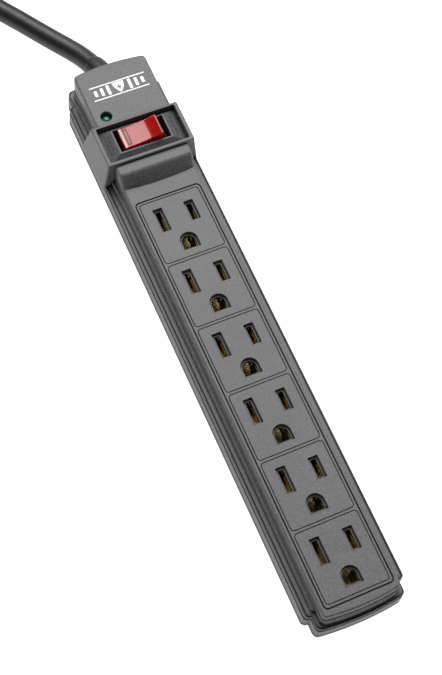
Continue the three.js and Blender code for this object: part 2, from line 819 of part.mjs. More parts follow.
// The last run, which lies on top: round the near fold, rising by one level, and along the left side.
function topRun() {
  const points = [];
  const steps = 12;
  for (let i = 0; i < steps; i += 1) {
    const share = i / steps;
    const angle = -Math.PI * share;
    const ease = share * share * (3 - 2 * share);
    points.push([
      HANK.x + HANK.fold * Math.cos(angle),
      HANK.y + HANK.fold * Math.sin(angle),
      topLevel - HANK.rise * (1 - ease),
    ]);
  }
  [0, 0.25, 0.5, 0.75, 1].forEach((share) => {
    points.push([HANK.x - HANK.fold, HANK.y + HANK.run * share, topLevel]);
  });
  return tube(curveThrough(points), CORD_RADIUS, 28, 10);
}

function hankSolid() {
  const bottom = HANK.low - CORD_RADIUS;
  const top = topLevel - CORD_RADIUS - 0.4; // clear of the tail that leaves above it
  const ring = cut(
    slab(stadium(HANK.fold + CORD_RADIUS), bottom, top, 16),
    slab(stadium(HANK.fold - CORD_RADIUS), bottom - 1, top + 1, 16),
  );
  return join(ring, topRun());
}

// The stretch from the hank to the plug: distance, sideways shift and height.
const TAIL = [
  [8, 0, 22.8],
  [16, 0, 22.7],
  [24, 0.4, 21.4],
  [32, 1.6, 18.8],
  [40, 3.4, 16.0],
  [48, 5.4, 13.6],
  [56, 7.1, 11.8],
  [64, 7.9, 10.9],
  [70, 8, PLUG_Z],
];
const onTail = ([distance, aside, z]) => [HANK.x - HANK.fold + aside, hankEnd + distance, z];

function cordTail() {
  const [lastDistance, lastAside, lastZ] = TAIL.at(-1);
  const heights = [[GAP, 0, topLevel], ...TAIL.slice(0, -1), [lastDistance - GAP, lastAside, lastZ]];
  return tube(curveThrough(heights.map(onTail)), CORD_RADIUS, 22, 10);
}

// A hook-and-loop strap around the middle of the hank.
const TIE = { width: 9, thick: 0.75, slack: 0.5 };

function cordTie() {
  const side = HANK.fold + CORD_RADIUS + TIE.slack;
  const lowTop = topLevel - CORD_RADIUS + TIE.slack;
  const highTop = topLevel + CORD_RADIUS + TIE.slack;
  const bottom = TIE.thick + 0.05;
  const loop = (grow) => polygon([
    [HANK.x - side - grow, bottom - grow],
    [HANK.x + side + grow, bottom - grow],
    [HANK.x + side + grow, lowTop + grow],
    [HANK.x - HANK.fold + CORD_RADIUS + TIE.slack + grow, highTop + grow],
    [HANK.x - side - grow, highTop + grow],
  ]);
  const middle = HANK.y + HANK.run / 2;
  return cut(
    alongY(loop(TIE.thick), middle - TIE.width / 2, middle + TIE.width / 2),
    alongY(loop(0), middle - TIE.width, middle + TIE.width),
  );
}

place('strain_relief', strainRelief(), BLACK);
place('power_cord', cordLead(), BLACK);
place('cord_hank', hankSolid(), BLACK);
place('power_cord_tail', cordTail(), BLACK);
place('cord_tie', cordTie(), BLACK);

const WIRE_RADIUS = 1.1;
const wire = (points) => tube(curveThrough(points), WIRE_RADIUS, 20, 8);
place(
  'line_wire',
  wire([
    [-0.2, 110.9, 8.4],
    [-0.3, 109.9, 7.8],
    [-0.9, 107.8, 5.2],
    [-2.6, 104.8, 3.9],
    [-7.2, 98.2, 3.8],
    [-11.6, 92, 4.3],
    [-12.75, 88.4, 5.2],
    [-12.75, 86.05, 5.3],
  ]),
  BLACK,
);
place(
  'neutral_wire',
  wire([
    [-3.6, 110.9, 5.4],
    [-3.9, 109.6, 5.0],
    [-8.6, 105.4, 3.75],
    [-13.2, 98, 3.7],
    [-15.05, 91, 3.7],
    [-15.05, 82, 3.7],
    [-14.4, 74, 3.9],
    [-10.6, 68.8, 4.8],
    [-6.6, 65.8, 5.4],
    [-6.4, 63.85, 5.4],
  ]),
  WHITE,
);
place(
  'ground_wire',
  wire([
    [3.4, 110.9, 5.4],
    [3.9, 109.6, 5.0],
    [7.8, 105, 3.8],
    [13.2, 97, 3.7],
    [15.05, 90, 3.7],
    [15.05, 80, 3.7],
    [13.8, 73.5, 3.7],
    [8, 69.6, 3.8],
    [1.0, 66.6, 5.1],
    [0, 63.9, 5.4],
  ]),
  WIRE_GREEN,
);
place(
  'load_wire',
  wire([
    [12.75, 80.3, 5.3],
    [12.75, 78.4, 5.9],
    [11.8, 73.5, 8.4],
    [8.6, 68.6, 8.0],
    [6.6, 65.9, 5.8],
    [6.4, 63.85, 5.4],
  ]),
  BLACK,
);

// ---- plug ---------------------------------------------------------------------------------

const PLUG = { body: 44, half: 13.2, low: 10.5, flange: 9, ground: 5.89 };
const plug = new THREE.Group();
const [backX, backY, backZ] = onTail(TAIL.at(-1));
plug.position.set(backX, backY + PLUG.body, backZ);
strip.add(plug);

// Its own frame has +Y ahead, out of the face, and the ground pin on the +X side.
function plugBody() {
  const faceShape = roundedBox(-PLUG.half, PLUG.half, -PLUG.low, PLUG.low, 6);
  const profile = [
    [0, -PLUG.body],
    [4.9, -PLUG.body],
    [5.6, -33],
    [8.4, -27],
    [9.6, -18],
    [10.3, -5],
    [0, -5],
  ];
  const grip = turnedAlongY(profile, 0, 0, 20).scale([1.2, 1, 1]);
  return join(alongY(faceShape, -PLUG.flange, 0), grip);
}

// Blades on each side of the plug's middle, half the blade spacing away, and the longer ground pin.
const BLADE = { length: 17.3, thick: 1.5, middle: PLUG.ground - GROUND_DROP, hot: 3.15, neutral: 3.9 };
const PIN = { radius: 2.35, straight: 18, length: 20.2 };

function blade(half, side) {
  const z = side * BLADE_X;
  const { middle, length, thick } = BLADE;
  return block(middle - half, middle + half, GAP, length, z - thick / 2, z + thick / 2);
}

function groundPin() {
  return join(
    rodAlongY(PLUG.ground, 0, GAP, PIN.straight, PIN.radius),
    rodAlongY(PLUG.ground, 0, PIN.straight, PIN.length, PIN.radius, PIN.radius / 2),
  );
}

place('plug_body', plugBody(), BLACK, plug);
place('plug_hot_blade', blade(BLADE.hot, 1), BRASS, plug);
place('plug_neutral_blade', blade(BLADE.neutral, -1), BRASS, plug);
place('plug_ground_pin', groundPin(), BRASS, plug);

export default strip;
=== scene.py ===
"""The looks of a six-outlet surge protector strip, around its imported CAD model.

Lengths in the tables are millimetres and every mesh is made in metres. +X runs across the strip,
+Y along it towards the cord, +Z up; the origin is the middle of the footprint, on the surface.
"""

import json
import math

import bmesh  # noqa: E402
import bpy  # noqa: E402
from mathutils import Matrix, Vector  # noqa: E402


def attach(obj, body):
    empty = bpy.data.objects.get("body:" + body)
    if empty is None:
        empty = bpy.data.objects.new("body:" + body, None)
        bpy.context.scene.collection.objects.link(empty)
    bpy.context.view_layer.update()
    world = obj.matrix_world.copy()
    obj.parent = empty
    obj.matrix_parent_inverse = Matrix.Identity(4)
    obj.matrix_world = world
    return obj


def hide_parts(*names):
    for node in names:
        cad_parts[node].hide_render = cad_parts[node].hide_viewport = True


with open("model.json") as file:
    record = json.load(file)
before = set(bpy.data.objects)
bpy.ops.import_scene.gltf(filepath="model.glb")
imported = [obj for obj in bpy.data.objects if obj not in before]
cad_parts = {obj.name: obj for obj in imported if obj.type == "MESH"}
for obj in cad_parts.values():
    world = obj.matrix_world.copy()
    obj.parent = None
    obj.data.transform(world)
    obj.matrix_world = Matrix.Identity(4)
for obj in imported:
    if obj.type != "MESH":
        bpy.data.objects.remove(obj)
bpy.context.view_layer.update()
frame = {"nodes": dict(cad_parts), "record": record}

MM = 0.001
scene = bpy.context.scene

# ---- driving dimensions ----

# Plan outlines: half width and half length of the sides, then of the longer, narrower ends.
STEP_1 = (19.9, 114.6, 17.6, 121.25)
RIB = (19.2, 114.15, 17.22, 120.78)
STEP_2 = (18.5, 113.9, 17.0, 120.45)
STEP_3 = (16.8, 112.8, 15.4, 119.75)
DECK = (15.2, 112.0, 15.2, 119.0)
DECK_TOP = 17.8
FAR_SHORT = 1.7  # by how much the sides stop earlier at the cord's end
BOW = 1.2  # how far an end's middle stands ahead of its corners
CORNER = 2.0
DECK_CORNER = 1.3
NOTCH = 0.4  # radius of the inner corner where an end meets a side

HEAD = {
    "top": 23.1,
    "half": 15.4,
    "foot": 64.85,
    "crest": 68.25,
    "back": 119.1,
    "front_corner": 1.5,
    "back_corner": 1.6,
    "edge": 0.9,
}
COLLAR = {
    "top": 24.6,
    "foot": 9.0,
    "top_half": 18.2,
    "foot_half": 20.2,
    "front": 72.9,
    "back": 91.5,
    "back_foot": 95.6,
    "edge": 0.45,
}
RECESS = {"half": 16.5, "front": 74.4, "back": 90.35, "ledge": 19.5}
MOUTH = {"half": 10.5, "front": 78.2, "back": 88.25, "top": 23.4, "edge": 21.55}

OUTLETS = 6
PITCH = 28.575
FIRST_SLOTS = 47.29
BLADE_X = 6.35
GROUND_DROP = 11.89
PANEL = {"half": 12.3, "above": 8.8, "below": 18.35, "corner": 1.15, "thick": 2.9}
PANEL_GAP = 0.2
GROOVE = {"half": 13.55, "near": -115.35, "far": 57.35, "corner": 1.7}

# The rocker's side view is measured from its axle, PIVOT; left end pressed in is its rest.
PIVOT = (0.0, 83.2, 18.5)
REST_TILT = 9.0
ROCKER = {"left": 7.5, "right": 8.4, "rise": 6.95, "low": -1.8, "dish": 0.66, "corner": 0.5}
ROCKER_HALF = 9.25 / 2
LAMP = (-10.0, 95.65)
KEYHOLE_Y = (-100.0, 75.5)
# The print: two long bars a gap away from short ones, which stand at a pitch from the first.
PRINT = {
    "x": 0.1,
    "y": 106.8,
    "half": 11.8,
    "line": 0.48,
    "gap": 0.75,
    "high": 4.6,
    "first": 4.6,
    "pitch": 2.7,
    "bar": 1.24,
}

CORD_RADIUS = 4.3
CORD_Z = 7.6
CORD_REST = 4.33
# The hank: two folded turns, one above the other, whose long runs lie along Y.
HANK = {"x": -9.1, "y": 220.0, "run": 81.1, "fold": 26.0, "low": 5.4, "rise": 8.7, "turns": 2}
PLUG_Z = 10.75
PLUG_LENGTH = 44.0


# ---- camera ----

EYE = (-128.0, -197.1, 506.8)
BACK = Vector((-0.2278, -0.3529, 0.9076)).normalized()
ROLL = math.radians(9.92)
LENS = 76.9


def make_camera():
    data = bpy.data.cameras.new("camera")
    data.lens = LENS
    data.sensor_width = 36.0
    data.clip_start = 0.01
    data.clip_end = 20.0
    camera = bpy.data.objects.new("camera", data)
    level = (-BACK).cross(Vector((0, 0, 1))).normalized()
    over = level.cross(-BACK)
    right = math.cos(ROLL) * level + math.sin(ROLL) * over
    up = BACK.cross(right)
    turn = Matrix((right, up, BACK)).transposed().to_4x4()
    camera.matrix_world = Matrix.Translation(Vector(EYE) * MM) @ turn
    scene.collection.objects.link(camera)
    scene.camera = camera


# ---- materials ----


class Nodes:
    """A short way to write a material's nodes."""

    def __init__(self, name):
        self.material = bpy.data.materials.new(name)
        self.material.use_nodes = True
        self.tree = self.material.node_tree
        self.tree.nodes.clear()
        self.output = self.add("ShaderNodeOutputMaterial")
        self.shader = self.add("ShaderNodeBsdfPrincipled")
        self.link(self.shader, "BSDF", self.output, "Surface")
        self.place = self.add("ShaderNodeTexCoord")

    def add(self, kind, **sockets):
        node = self.tree.nodes.new(kind)
        self.fill(node, **sockets)
        return node

    def fill(self, node, **sockets):
        """Sets a node's sockets; underscores stand for the spaces in their names."""
        for name, value in sockets.items():
            node.inputs[name.replace("_", " ")].default_value = value

    def link(self, source, output, target, entry):
        self.tree.links.new(source.outputs[output], target.inputs[entry])

    def noise(self, scale, detail=2.0, rough=0.5, stretch=None):
        node = self.add("ShaderNodeTexNoise", Scale=scale, Detail=detail, Roughness=rough)
        if stretch is None:
            self.link(self.place, "Object", node, "Vector")
        else:
            mapping = self.add("ShaderNodeMapping", Scale=stretch)
            self.link(self.place, "Object", mapping, "Vector")
            self.link(mapping, "Vector", node, "Vector")
        return node

    def ramp(self, source, low, high, at=(0.3, 0.7), output="Fac"):
        node = self.add("ShaderNodeValToRGB")
        for stop, colour, position in zip(node.color_ramp.elements, (low, high), at):
            stop.color = colour if len(colour) == 4 else (*colour, 1.0)
            stop.position = position
        self.link(source, output, node, "Fac")
        return node

    def range(self, source, low, high, output="Fac", span=(0.25, 0.75)):
        sockets = {"From_Min": span[0], "From_Max": span[1], "To_Min": low, "To_Max": high}
        node = self.add("ShaderNodeMapRange", **sockets)
        self.link(source, output, node, "Value")
        return node

    def blend(self, kind, factor, first, second):
        """Mixes two colours, each a colour or a node with a Color output."""
        node = self.add("ShaderNodeMix")
        node.data_type = "RGBA"
        node.blend_type = kind
        for entry, value in ((6, first), (7, second)):
            if isinstance(value, tuple):
                node.inputs[entry].default_value = value if len(value) == 4 else (*value, 1.0)
            else:
                output = "Color" if "Color" in value.outputs else 2
                self.tree.links.new(value.outputs[output], node.inputs[entry])
        if isinstance(factor, float):
            node.inputs[0].default_value = factor
        else:
            self.tree.links.new(factor.outputs[0], node.inputs[0])
        return node

    def bump(self, source, height, strength=1.0, output="Fac", under=None):
        node = self.add("ShaderNodeBump", Strength=strength, Distance=height)
        self.link(source, output, node, "Height")
        if under is not None:
            self.link(under, "Normal", node, "Normal")
        return node


def shade(colour, factor):
    return tuple(channel * factor for channel in colour)


def moulded(name, colour, rough, grain=0.016, scale=1500.0, mottle=0.05, crease_shade_reach=0.0, **shine):
    """Moulded plastic: spark-eroded grain, small changes of tone, and painted shade that darkens the
    colour up to so far from a crease.
    """
    n = Nodes(name)
    broad = n.noise(45.0, 3.0)
    fine = n.noise(scale, 2.0, 0.6)
    cloud = n.ramp(broad, shade(colour, 1 - mottle), shade(colour, 1 + mottle))
    speck = n.ramp(fine, (0.72, 0.72, 0.73), (1.28, 1.28, 1.27), (0.36, 0.64))
    tone = n.blend("MULTIPLY", 1.0, cloud, speck)
    # Painted shade: an ambient occlusion node darkens the colour in creases and at the feet of steps,
    # standing in for their shadows.
    if crease_shade_reach:
        crease = n.add("ShaderNodeAmbientOcclusion", Distance=crease_shade_reach * MM)
        crease.only_local = True
        painted_crease_shade = n.ramp(crease, (0.18, 0.18, 0.19), (1.0, 1.0, 1.0), (0.44, 0.86), "AO")
        tone = n.blend("MULTIPLY", 1.0, tone, painted_crease_shade)
    n.link(tone, 2, n.shader, "Base Color")
    n.link(n.range(fine, rough - 0.07, rough + 0.07), "Result", n.shader, "Roughness")
    coarse = n.bump(n.noise(scale * 0.4, 2.0, 0.6), grain * MM * 1.6, 0.6)
    n.link(n.bump(fine, grain * MM, 1.0, under=coarse), "Normal", n.shader, "Normal")
    n.fill(n.shader, **shine)
    return n.material


def metal(name, colour, rough, stretch=(1.0, 12.0, 12.0)):
    """Bare sheet metal with rolling marks and patches of tarnish."""
    n = Nodes(name)
    rolling = n.noise(320.0, 2.0, 0.5, stretch)
    patches = n.noise(160.0, 4.0, 0.6)
    base = n.ramp(patches, shade(colour, 0.78), colour, (0.35, 0.6))
    tone = n.blend("MULTIPLY", 0.5, base, n.ramp(rolling, (0.8, 0.8, 0.8), (1.0, 1.0, 1.0)))
    n.link(tone, 2, n.shader, "Base Color")
    n.link(n.range(rolling, rough - 0.06, rough + 0.1), "Result", n.shader, "Roughness")
    n.link(n.bump(rolling, 0.0015 * MM), "Normal", n.shader, "Normal")
    n.fill(n.shader, Metallic=1.0)
    return n.material


def tinted(name, colour, rough, painted_glow, ior, rim=None):
    """Clear coloured plastic: deep colour, faint flow lines, a gloss surface, and a slight painted glow,
    emission in the plastic's own colour that stands in for light coming through it.
    """
    n = Nodes(name)
    flow = n.noise(220.0, 3.0, 0.55, (1.0, 3.0, 1.0))
    tone = n.ramp(flow, shade(colour, 0.8), shade(colour, 1.12))
    n.link(tone, "Color", n.shader, "Base Color")
    n.link(n.range(n.noise(1500.0), rough * 0.8, rough * 1.5), "Result", n.shader, "Roughness")
    n.link(n.bump(n.noise(380.0), 0.003 * MM), "Normal", n.shader, "Normal")
    # Painted glow: the plastic emits its own colour.
    n.link(tone, "Color", n.shader, "Emission Color")
    n.fill(n.shader, Emission_Strength=painted_glow, IOR=ior)
    # Painted highlight along the rocker's top left edge.
    if rim:
        paint_rim_highlight(n, tone, rim)
    return n.material


def paint_rim_highlight(n, tone, colour):
    """Painted highlight: the rocker's thin top left edge is painted paler than the rest."""
    split = n.add("ShaderNodeSeparateXYZ")
    n.link(n.place, "Object", split, "Vector")
    aside = n.range(split, 0.0, 0.75, "X", (-7.3 * MM, -7.9 * MM))
    height = n.range(split, 0.0, 1.0, "Z", (23.3 * MM, 23.9 * MM))
    both = n.add("ShaderNodeMath")
    both.operation = "MULTIPLY"
    n.link(aside, "Result", both, 0)
    n.link(height, "Result", both, 1)
    n.link(n.blend("MIX", both, tone, colour), 2, n.shader, "Base Color")


def vinyl(name, colour, rough):
    """Cable jacket: satin vinyl with fine drawn lines and a dusty tone."""
    n = Nodes(name)
    skin = n.noise(1100.0, 3.0, 0.6)
    broad = n.noise(70.0, 2.0)
    tone = n.ramp(broad, shade(colour, 0.85), shade(colour, 1.2))
    speck = n.blend("MULTIPLY", 1.0, tone, n.ramp(skin, (0.82,) * 3, (1.15,) * 3))
    n.link(speck, 2, n.shader, "Base Color")
    n.link(n.range(skin, rough - 0.08, rough + 0.1), "Result", n.shader, "Roughness")
    n.link(n.bump(skin, 0.012 * MM, 0.8), "Normal", n.shader, "Normal")
    return n.material


def woven(name, colour):
    """Hook-and-loop tape: a dense pile of tiny loops."""
    n = Nodes(name)
    cells = n.add("ShaderNodeTexVoronoi", Scale=1700.0)
    n.link(n.place, "Object", cells, "Vector")
    tone = n.ramp(cells, shade(colour, 1.8), shade(colour, 0.5), (0.1, 0.6), "Distance")
    n.link(tone, "Color", n.shader, "Base Color")
    n.link(n.bump(cells, 0.12 * MM, 0.9, "Distance"), "Normal", n.shader, "Normal")
    n.fill(n.shader, Roughness=0.95, Sheen_Weight=0.4, Sheen_Roughness=0.5)
    return n.material


HOUSING = (0.101, 0.098, 0.103)
BEZEL = (0.056, 0.054, 0.06)
RED = (0.27, 0.003, 0.003)
# A pale colour painted on the rocker's top left edge as a highlight.
RIM_HIGHLIGHT_COLOUR = (0.62, 0.45, 0.36)

FINISHES = {
    # The housing's colour carries painted shade in its creases.
    "housing_grey": lambda name: moulded(name, HOUSING, 0.5, crease_shade_reach=1.3, Specular_IOR_Level=0.36),
    "bezel_grey": lambda name: moulded(name, BEZEL, 0.44, 0.01, Specular_IOR_Level=0.4),
    # The rocker's red and, below, the lamp's green have a faint painted glow.
    "rocker_red": lambda name: tinted(name, RED, 0.06, 0.16, 1.45, rim=RIM_HIGHLIGHT_COLOUR),
    # Dark red for the fill in the rocker's bar groove: painted shade.
    "mark_red": lambda name: moulded(name, (0.05, 0.001, 0.002), 0.4, 0.004),
    "print_white": lambda name: moulded(name, (0.86, 0.86, 0.85), 0.5, 0.004),
    "lamp_green": lambda name: tinted(name, (0.006, 0.1, 0.042), 0.16, 0.04, 1.5),
    "black_plastic": lambda name: moulded(name, (0.016, 0.016, 0.018), 0.5),
    "plug_black": lambda name: moulded(name, (0.02, 0.02, 0.022), 0.48, 0.02),
    "cord_jacket": lambda name: vinyl(name, (0.005, 0.005, 0.0065), 0.46),
    "tie_fabric": lambda name: woven(name, (0.018, 0.018, 0.019)),
    "brass": lambda name: metal(name, (0.5, 0.38, 0.17), 0.36, (1.0, 2.0, 2.0)),
    "steel": lambda name: metal(name, (0.62, 0.62, 0.64), 0.28),
    "nylon": lambda name: moulded(name, (0.56, 0.53, 0.44), 0.5, 0.006),
    "board_green": lambda name: moulded(name, (0.03, 0.13, 0.05), 0.35, 0.01, 700.0, 0.2),
    "varistor_blue": lambda name: moulded(name, (0.02, 0.09, 0.34), 0.3, 0.03, 500.0, 0.15),
    "component_yellow": lambda name: moulded(name, (0.6, 0.4, 0.05), 0.35, 0.01, 900.0),
    "component_tan": lambda name: moulded(name, (0.52, 0.4, 0.22), 0.4, 0.02, 900.0, 0.12),
    "wire_black": lambda name: vinyl(name, (0.014, 0.014, 0.015), 0.3),
    "wire_white": lambda name: vinyl(name, (0.74, 0.73, 0.7), 0.3),
    "wire_green": lambda name: vinyl(name, (0.02, 0.22, 0.06), 0.3),
}
made_finishes = {}


def finish(name):
    """The material of that name, made once."""
    if name not in made_finishes:
        made_finishes[name] = FINISHES[name](name)
    return made_finishes[name]


# ---- mesh helpers ----

KAPPA = 0.5523  # handle length of a curve that stands for a quarter circle
SHARP = math.radians(34)  # edges sharper than this stay hard


def round_corner(start, tip, end, steps):
    """Points of a round corner from start to end, whose straight sides would meet at tip."""
    p0, p3, corner = Vector(start), Vector(end), Vector(tip)
    p1, p2 = p0.lerp(corner, KAPPA), p3.lerp(corner, KAPPA)
    points = []
    for i in range(steps + 1):
        t = i / steps
        s = 1 - t
        points.append(s**3 * p0 + 3 * s * s * t * p1 + 3 * s * t * t * p2 + t**3 * p3)
    return points


def rectangle(x0, x1, y0, y1, radius, steps=5):
    """A rectangle with round corners, anticlockwise."""
    r = max(radius, 0.02)
    points = []
    for x, y, back, ahead in (
        (x1, y1, (0, -r), (-r, 0)),
        (x0, y1, (r, 0), (0, -r)),
        (x0, y0, (0, r), (r, 0)),
        (x1, y0, (-r, 0), (0, r)),
    ):
        start = (x + back[0], y + back[1])
        points += round_corner(start, (x, y), (x + ahead[0], y + ahead[1]), steps)
    return points


def circle(x, y, radius, sides=32):
    angles = [2 * math.pi * i / sides for i in range(sides)]
    return [Vector((x + radius * math.cos(a), y + radius * math.sin(a))) for a in angles]


def level(outline, z):
    return [Vector((p[0], p[1], z)) for p in outline]


def upright(outline, y):
    return [Vector((p[0], y, p[1])) for p in outline]


def skin(rings, capped=True):
    """A bmesh through rings of equal point counts: capped at both ends, or else joined end to end."""
    mesh = bmesh.new()
    rows = [[mesh.verts.new(Vector(p) * MM) for p in ring] for ring in rings]
    count = len(rows[0])
    for lower, upper in zip(rows, rows[1:] if capped else [*rows[1:], rows[0]]):
        for i in range(count):
            j = (i + 1) % count
            mesh.faces.new((lower[i], lower[j], upper[j], upper[i]))
    if capped:
        mesh.faces.new(rows[0][::-1])
        mesh.faces.new(rows[-1])
    bmesh.ops.remove_doubles(mesh, verts=mesh.verts, dist=1e-7)
    bmesh.ops.recalc_face_normals(mesh, faces=mesh.faces)
    if mesh.calc_volume(signed=True) < 0:
        bmesh.ops.reverse_faces(mesh, faces=mesh.faces)
    return mesh


def prism(outline, z0, z1):
    return skin([level(outline, z0), level(outline, z1)])


def thing(name, mesh, slot=None, smooth=True):
    """An object from a bmesh, which it uses up, in one of the finishes."""
    data = bpy.data.meshes.new(name)
    mesh.to_mesh(data)
    mesh.free()
    piece = bpy.data.objects.new(name, data)
    scene.collection.objects.link(piece)
    if smooth:
        soften(piece)
    if slot:
        data.materials.append(finish(slot))
    return piece


def stand_in(name, mesh, slot, node, body="strip"):
    """A piece that takes the place of a CAD node and rides on its body."""
    piece = thing(name, mesh, slot)
    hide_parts(node)
    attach(piece, body)
    return piece


def soften(piece):
    """Smooth shading that keeps hard edges and leaves flat faces flat."""
    piece.data.shade_smooth()
    piece.data.set_sharp_from_angle(angle=SHARP)
    weighted = piece.modifiers.new("flat_faces", "WEIGHTED_NORMAL")
    weighted.keep_sharp = True
    weighted.weight = 90


def merged(meshes):
    """One bmesh from several."""
    whole = bmesh.new()
    for mesh in meshes:
        data = bpy.data.meshes.new("part")
        mesh.to_mesh(data)
        mesh.free()
        whole.from_mesh(data)
        bpy.data.meshes.remove(data)
    return whole


def combine(operation, body, tool):
    """A new bmesh: body joined with, or cut by, tool. Both are used up."""
    first = thing("body", body, smooth=False)
    second = thing("tool", tool, smooth=False)
    step = first.modifiers.new("step", "BOOLEAN")
    step.operation = operation
    step.solver = "EXACT"
    step.object = second
    evaluated = first.evaluated_get(bpy.context.evaluated_depsgraph_get())
    result = bmesh.new()
    result.from_mesh(evaluated.to_mesh())
    evaluated.to_mesh_clear()
    for piece in (first, second):
        data = piece.data
        bpy.data.objects.remove(piece)
        bpy.data.meshes.remove(data)
    return result


def round_edge(outline_at, top, radius, steps):
    """Rings of a round edge that ends at height top; outline_at(z, inset) gives the plan."""
    rings = []
    for i in range(steps + 1):
        angle = i / steps * math.pi / 2
        z = top - radius * (1 - math.sin(angle))
        rings.append(level(outline_at(z, radius * (1 - math.cos(angle))), z))
    return rings


# ---- housing ----


def cross_quarter(shape, inset, corner):
    """A quarter of the stepped plan, from the middle of the +Y end round to the +X side."""
    side, side_y, end, length = (value - inset for value in shape)
    r = max(corner - inset, 0.2)

    def bow(x):
        return length - BOW * (x / end) ** 2

    points = [Vector((x, bow(x))) for x in ((end - r) * i / 10 for i in range(10))]
    points += round_corner((end - r, bow(end - r)), (end, bow(end)), (end, bow(end) - r), 7)
    shoulder = side - end
    if shoulder > 0.1:
        q = NOTCH + inset
        s = max(min(corner, shoulder - NOTCH) - inset, 0.15)
        points += round_corner((end, side_y + q), (end, side_y), (end + q, side_y), 4)
        points += round_corner((side - s, side_y), (side, side_y), (side, side_y - s), 6)
    else:
        # No shoulder: the same number of points, along the straight side.
        points += [Vector((side, side_y + 0.5 - 0.2 * i)) for i in range(12)]
    points.append(Vector((side, side_y * 0.5)))
    return points


def cross(shape, inset=0.0):
    """The whole stepped plan outline, anticlockwise."""
    corner = DECK_CORNER if shape is DECK else CORNER
    far = cross_quarter((shape[0], shape[1] - FAR_SHORT, *shape[2:]), inset, corner)
    near = cross_quarter(shape, inset, corner)

    def mirrored(points, x, y):
        return [Vector((x * p.x, y * p.y)) for p in points]

    right = far + mirrored(near[::-1], 1, -1)
    left = mirrored(near[1:], -1, -1) + mirrored(far[:0:-1], -1, 1)
    return (right + left)[::-1]


# The moulded profile from the foot to the deck: each plan with its insets and heights.
PROFILE = [
    (STEP_1, [(0.35, 2.3), (0.1, 2.4), (0.0, 2.65), (0.12, 7.45), (0.3, 7.7), (0.75, 7.85)]),
    (STEP_1, [(0.75, 8.95), (0.3, 9.1), (0.24, 9.3), (0.26, 9.85), (0.34, 10.02)]),
    (RIB, [(0.0, 10.04), (0.05, 9.9), (0.08, 9.4)]),
    (STEP_2, [(-0.06, 9.4), (-0.02, 9.95), (0.08, 10.14), (0.3, 10.2)]),
    (STEP_3, [(-0.3, 10.2), (-0.08, 10.3), (0.0, 10.55), (0.05, 12.2), (0.17, 12.55)]),
    (STEP_3, [(0.38, 12.75), (0.6, 12.8)]),
    (DECK, [(-0.5, 12.8), (-0.42, 12.88), (-0.38, 13.1), (-0.34, 14.0), (-0.2, 14.15)]),
    (DECK, [(-0.04, 14.18), (0.0, 14.3)]),
]
DECK_EDGE = 0.75  # radius of the deck's long edges


def shell_rings():
    """The stepped shell, with the deck's rounded edge at its top."""
    rings = [level(cross(shape, inset), z) for shape, rows in PROFILE for inset, z in rows]
    return rings + round_edge(lambda z, inset: cross(DECK, 0.05 + inset), DECK_TOP, DECK_EDGE, 6)


def head_outline(z, inset):
    """The head's plan at a height: its front slopes and is bowed at its foot."""
    share = (z - DECK_TOP) / (HEAD["top"] - DECK_TOP)
    half = HEAD["half"] - inset
    front = HEAD["foot"] + share * (HEAD["crest"] - HEAD["foot"]) + inset
    front_bow = max(0.0, 1 - share)
    back = HEAD["back"] - inset
    r_front = max(HEAD["front_corner"] - inset, 0.3)
    r_back = max(HEAD["back_corner"] - inset, 0.3)

    def face(x):
        return front - front_bow * (1 - (x / half) ** 2)

    def rear(x):
        return back - BOW * (x / half) ** 2

    points = []
    for i in range(11):
        x = (half - r_front) * (i / 5 - 1)
        points.append(Vector((x, face(x))))
    near, far = half - r_front, half - r_back
    points += round_corner((near, face(near)), (half, front), (half, front + r_front), 5)[1:]
    points += round_corner((half, rear(half) - r_back), (half, rear(half)), (far, rear(far)), 6)
    for i in range(1, 10):
        x = far * (1 - i / 5)
        points.append(Vector((x, rear(x))))
    points += round_corner((-far, rear(far)), (-half, rear(half)), (-half, rear(half) - r_back), 6)
    points += round_corner((-half, front + r_front), (-half, front), (-near, face(near)), 5)[:-1]
    return points


def head_rings():
    rings = [level(head_outline(z, 0.0), z) for z in (15.5, DECK_TOP, 19.5)]
    return rings + round_edge(head_outline, HEAD["top"], HEAD["edge"], 6)


def collar_outline(z, inset):
    """The collar's plan at a height: its sides and back slope outwards to its foot."""
    share = (z - COLLAR["foot"]) / (COLLAR["top"] - COLLAR["foot"])
    half = COLLAR["foot_half"] + share * (COLLAR["top_half"] - COLLAR["foot_half"]) - inset
    back = COLLAR["back_foot"] + share * (COLLAR["back"] - COLLAR["back_foot"]) - inset
    return rectangle(-half, half, COLLAR["front"] + inset, back, 0.7 - inset * 0.8, 4)


def collar_rings():
    lowest = 8.46
    rings = [level(collar_outline(lowest, 0.0), lowest)]
    return rings + round_edge(collar_outline, COLLAR["top"], COLLAR["edge"], 4)


def recess_cutter():
    """The switch's recess in the collar, with a rounded rim."""
    top = COLLAR["top"]
    rings = []
    for grow, z in (
        (0.0, RECESS["ledge"]),
        (0.0, top - 0.35),
        (0.1, top - 0.1),
        (0.35, top + 0.1),
        (0.35, top + 3),
    ):
        half = RECESS["half"] + grow
        outline = rectangle(-half, half, RECESS["front"] - grow, RECESS["back"] + grow, 0.5 + grow, 4)
        rings.append(level(outline, z))
    return skin(rings)


def panel_outline(index, grow):
    y = FIRST_SLOTS - index * PITCH
    half = PANEL["half"] + grow
    corner = PANEL["corner"] + grow
    return rectangle(-half, half, y - PANEL["below"] - grow, y + PANEL["above"] + grow, corner, 6)


def window_cutter(index):
    """The opening for an outlet's plate, a little larger than it and eased at its top edge."""
    eases = ((0.0, -6), (0.0, -0.2), (0.04, -0.08), (0.16, 0.04), (0.16, 1))
    return skin([level(panel_outline(index, PANEL_GAP + grow), DECK_TOP + z) for grow, z in eases])


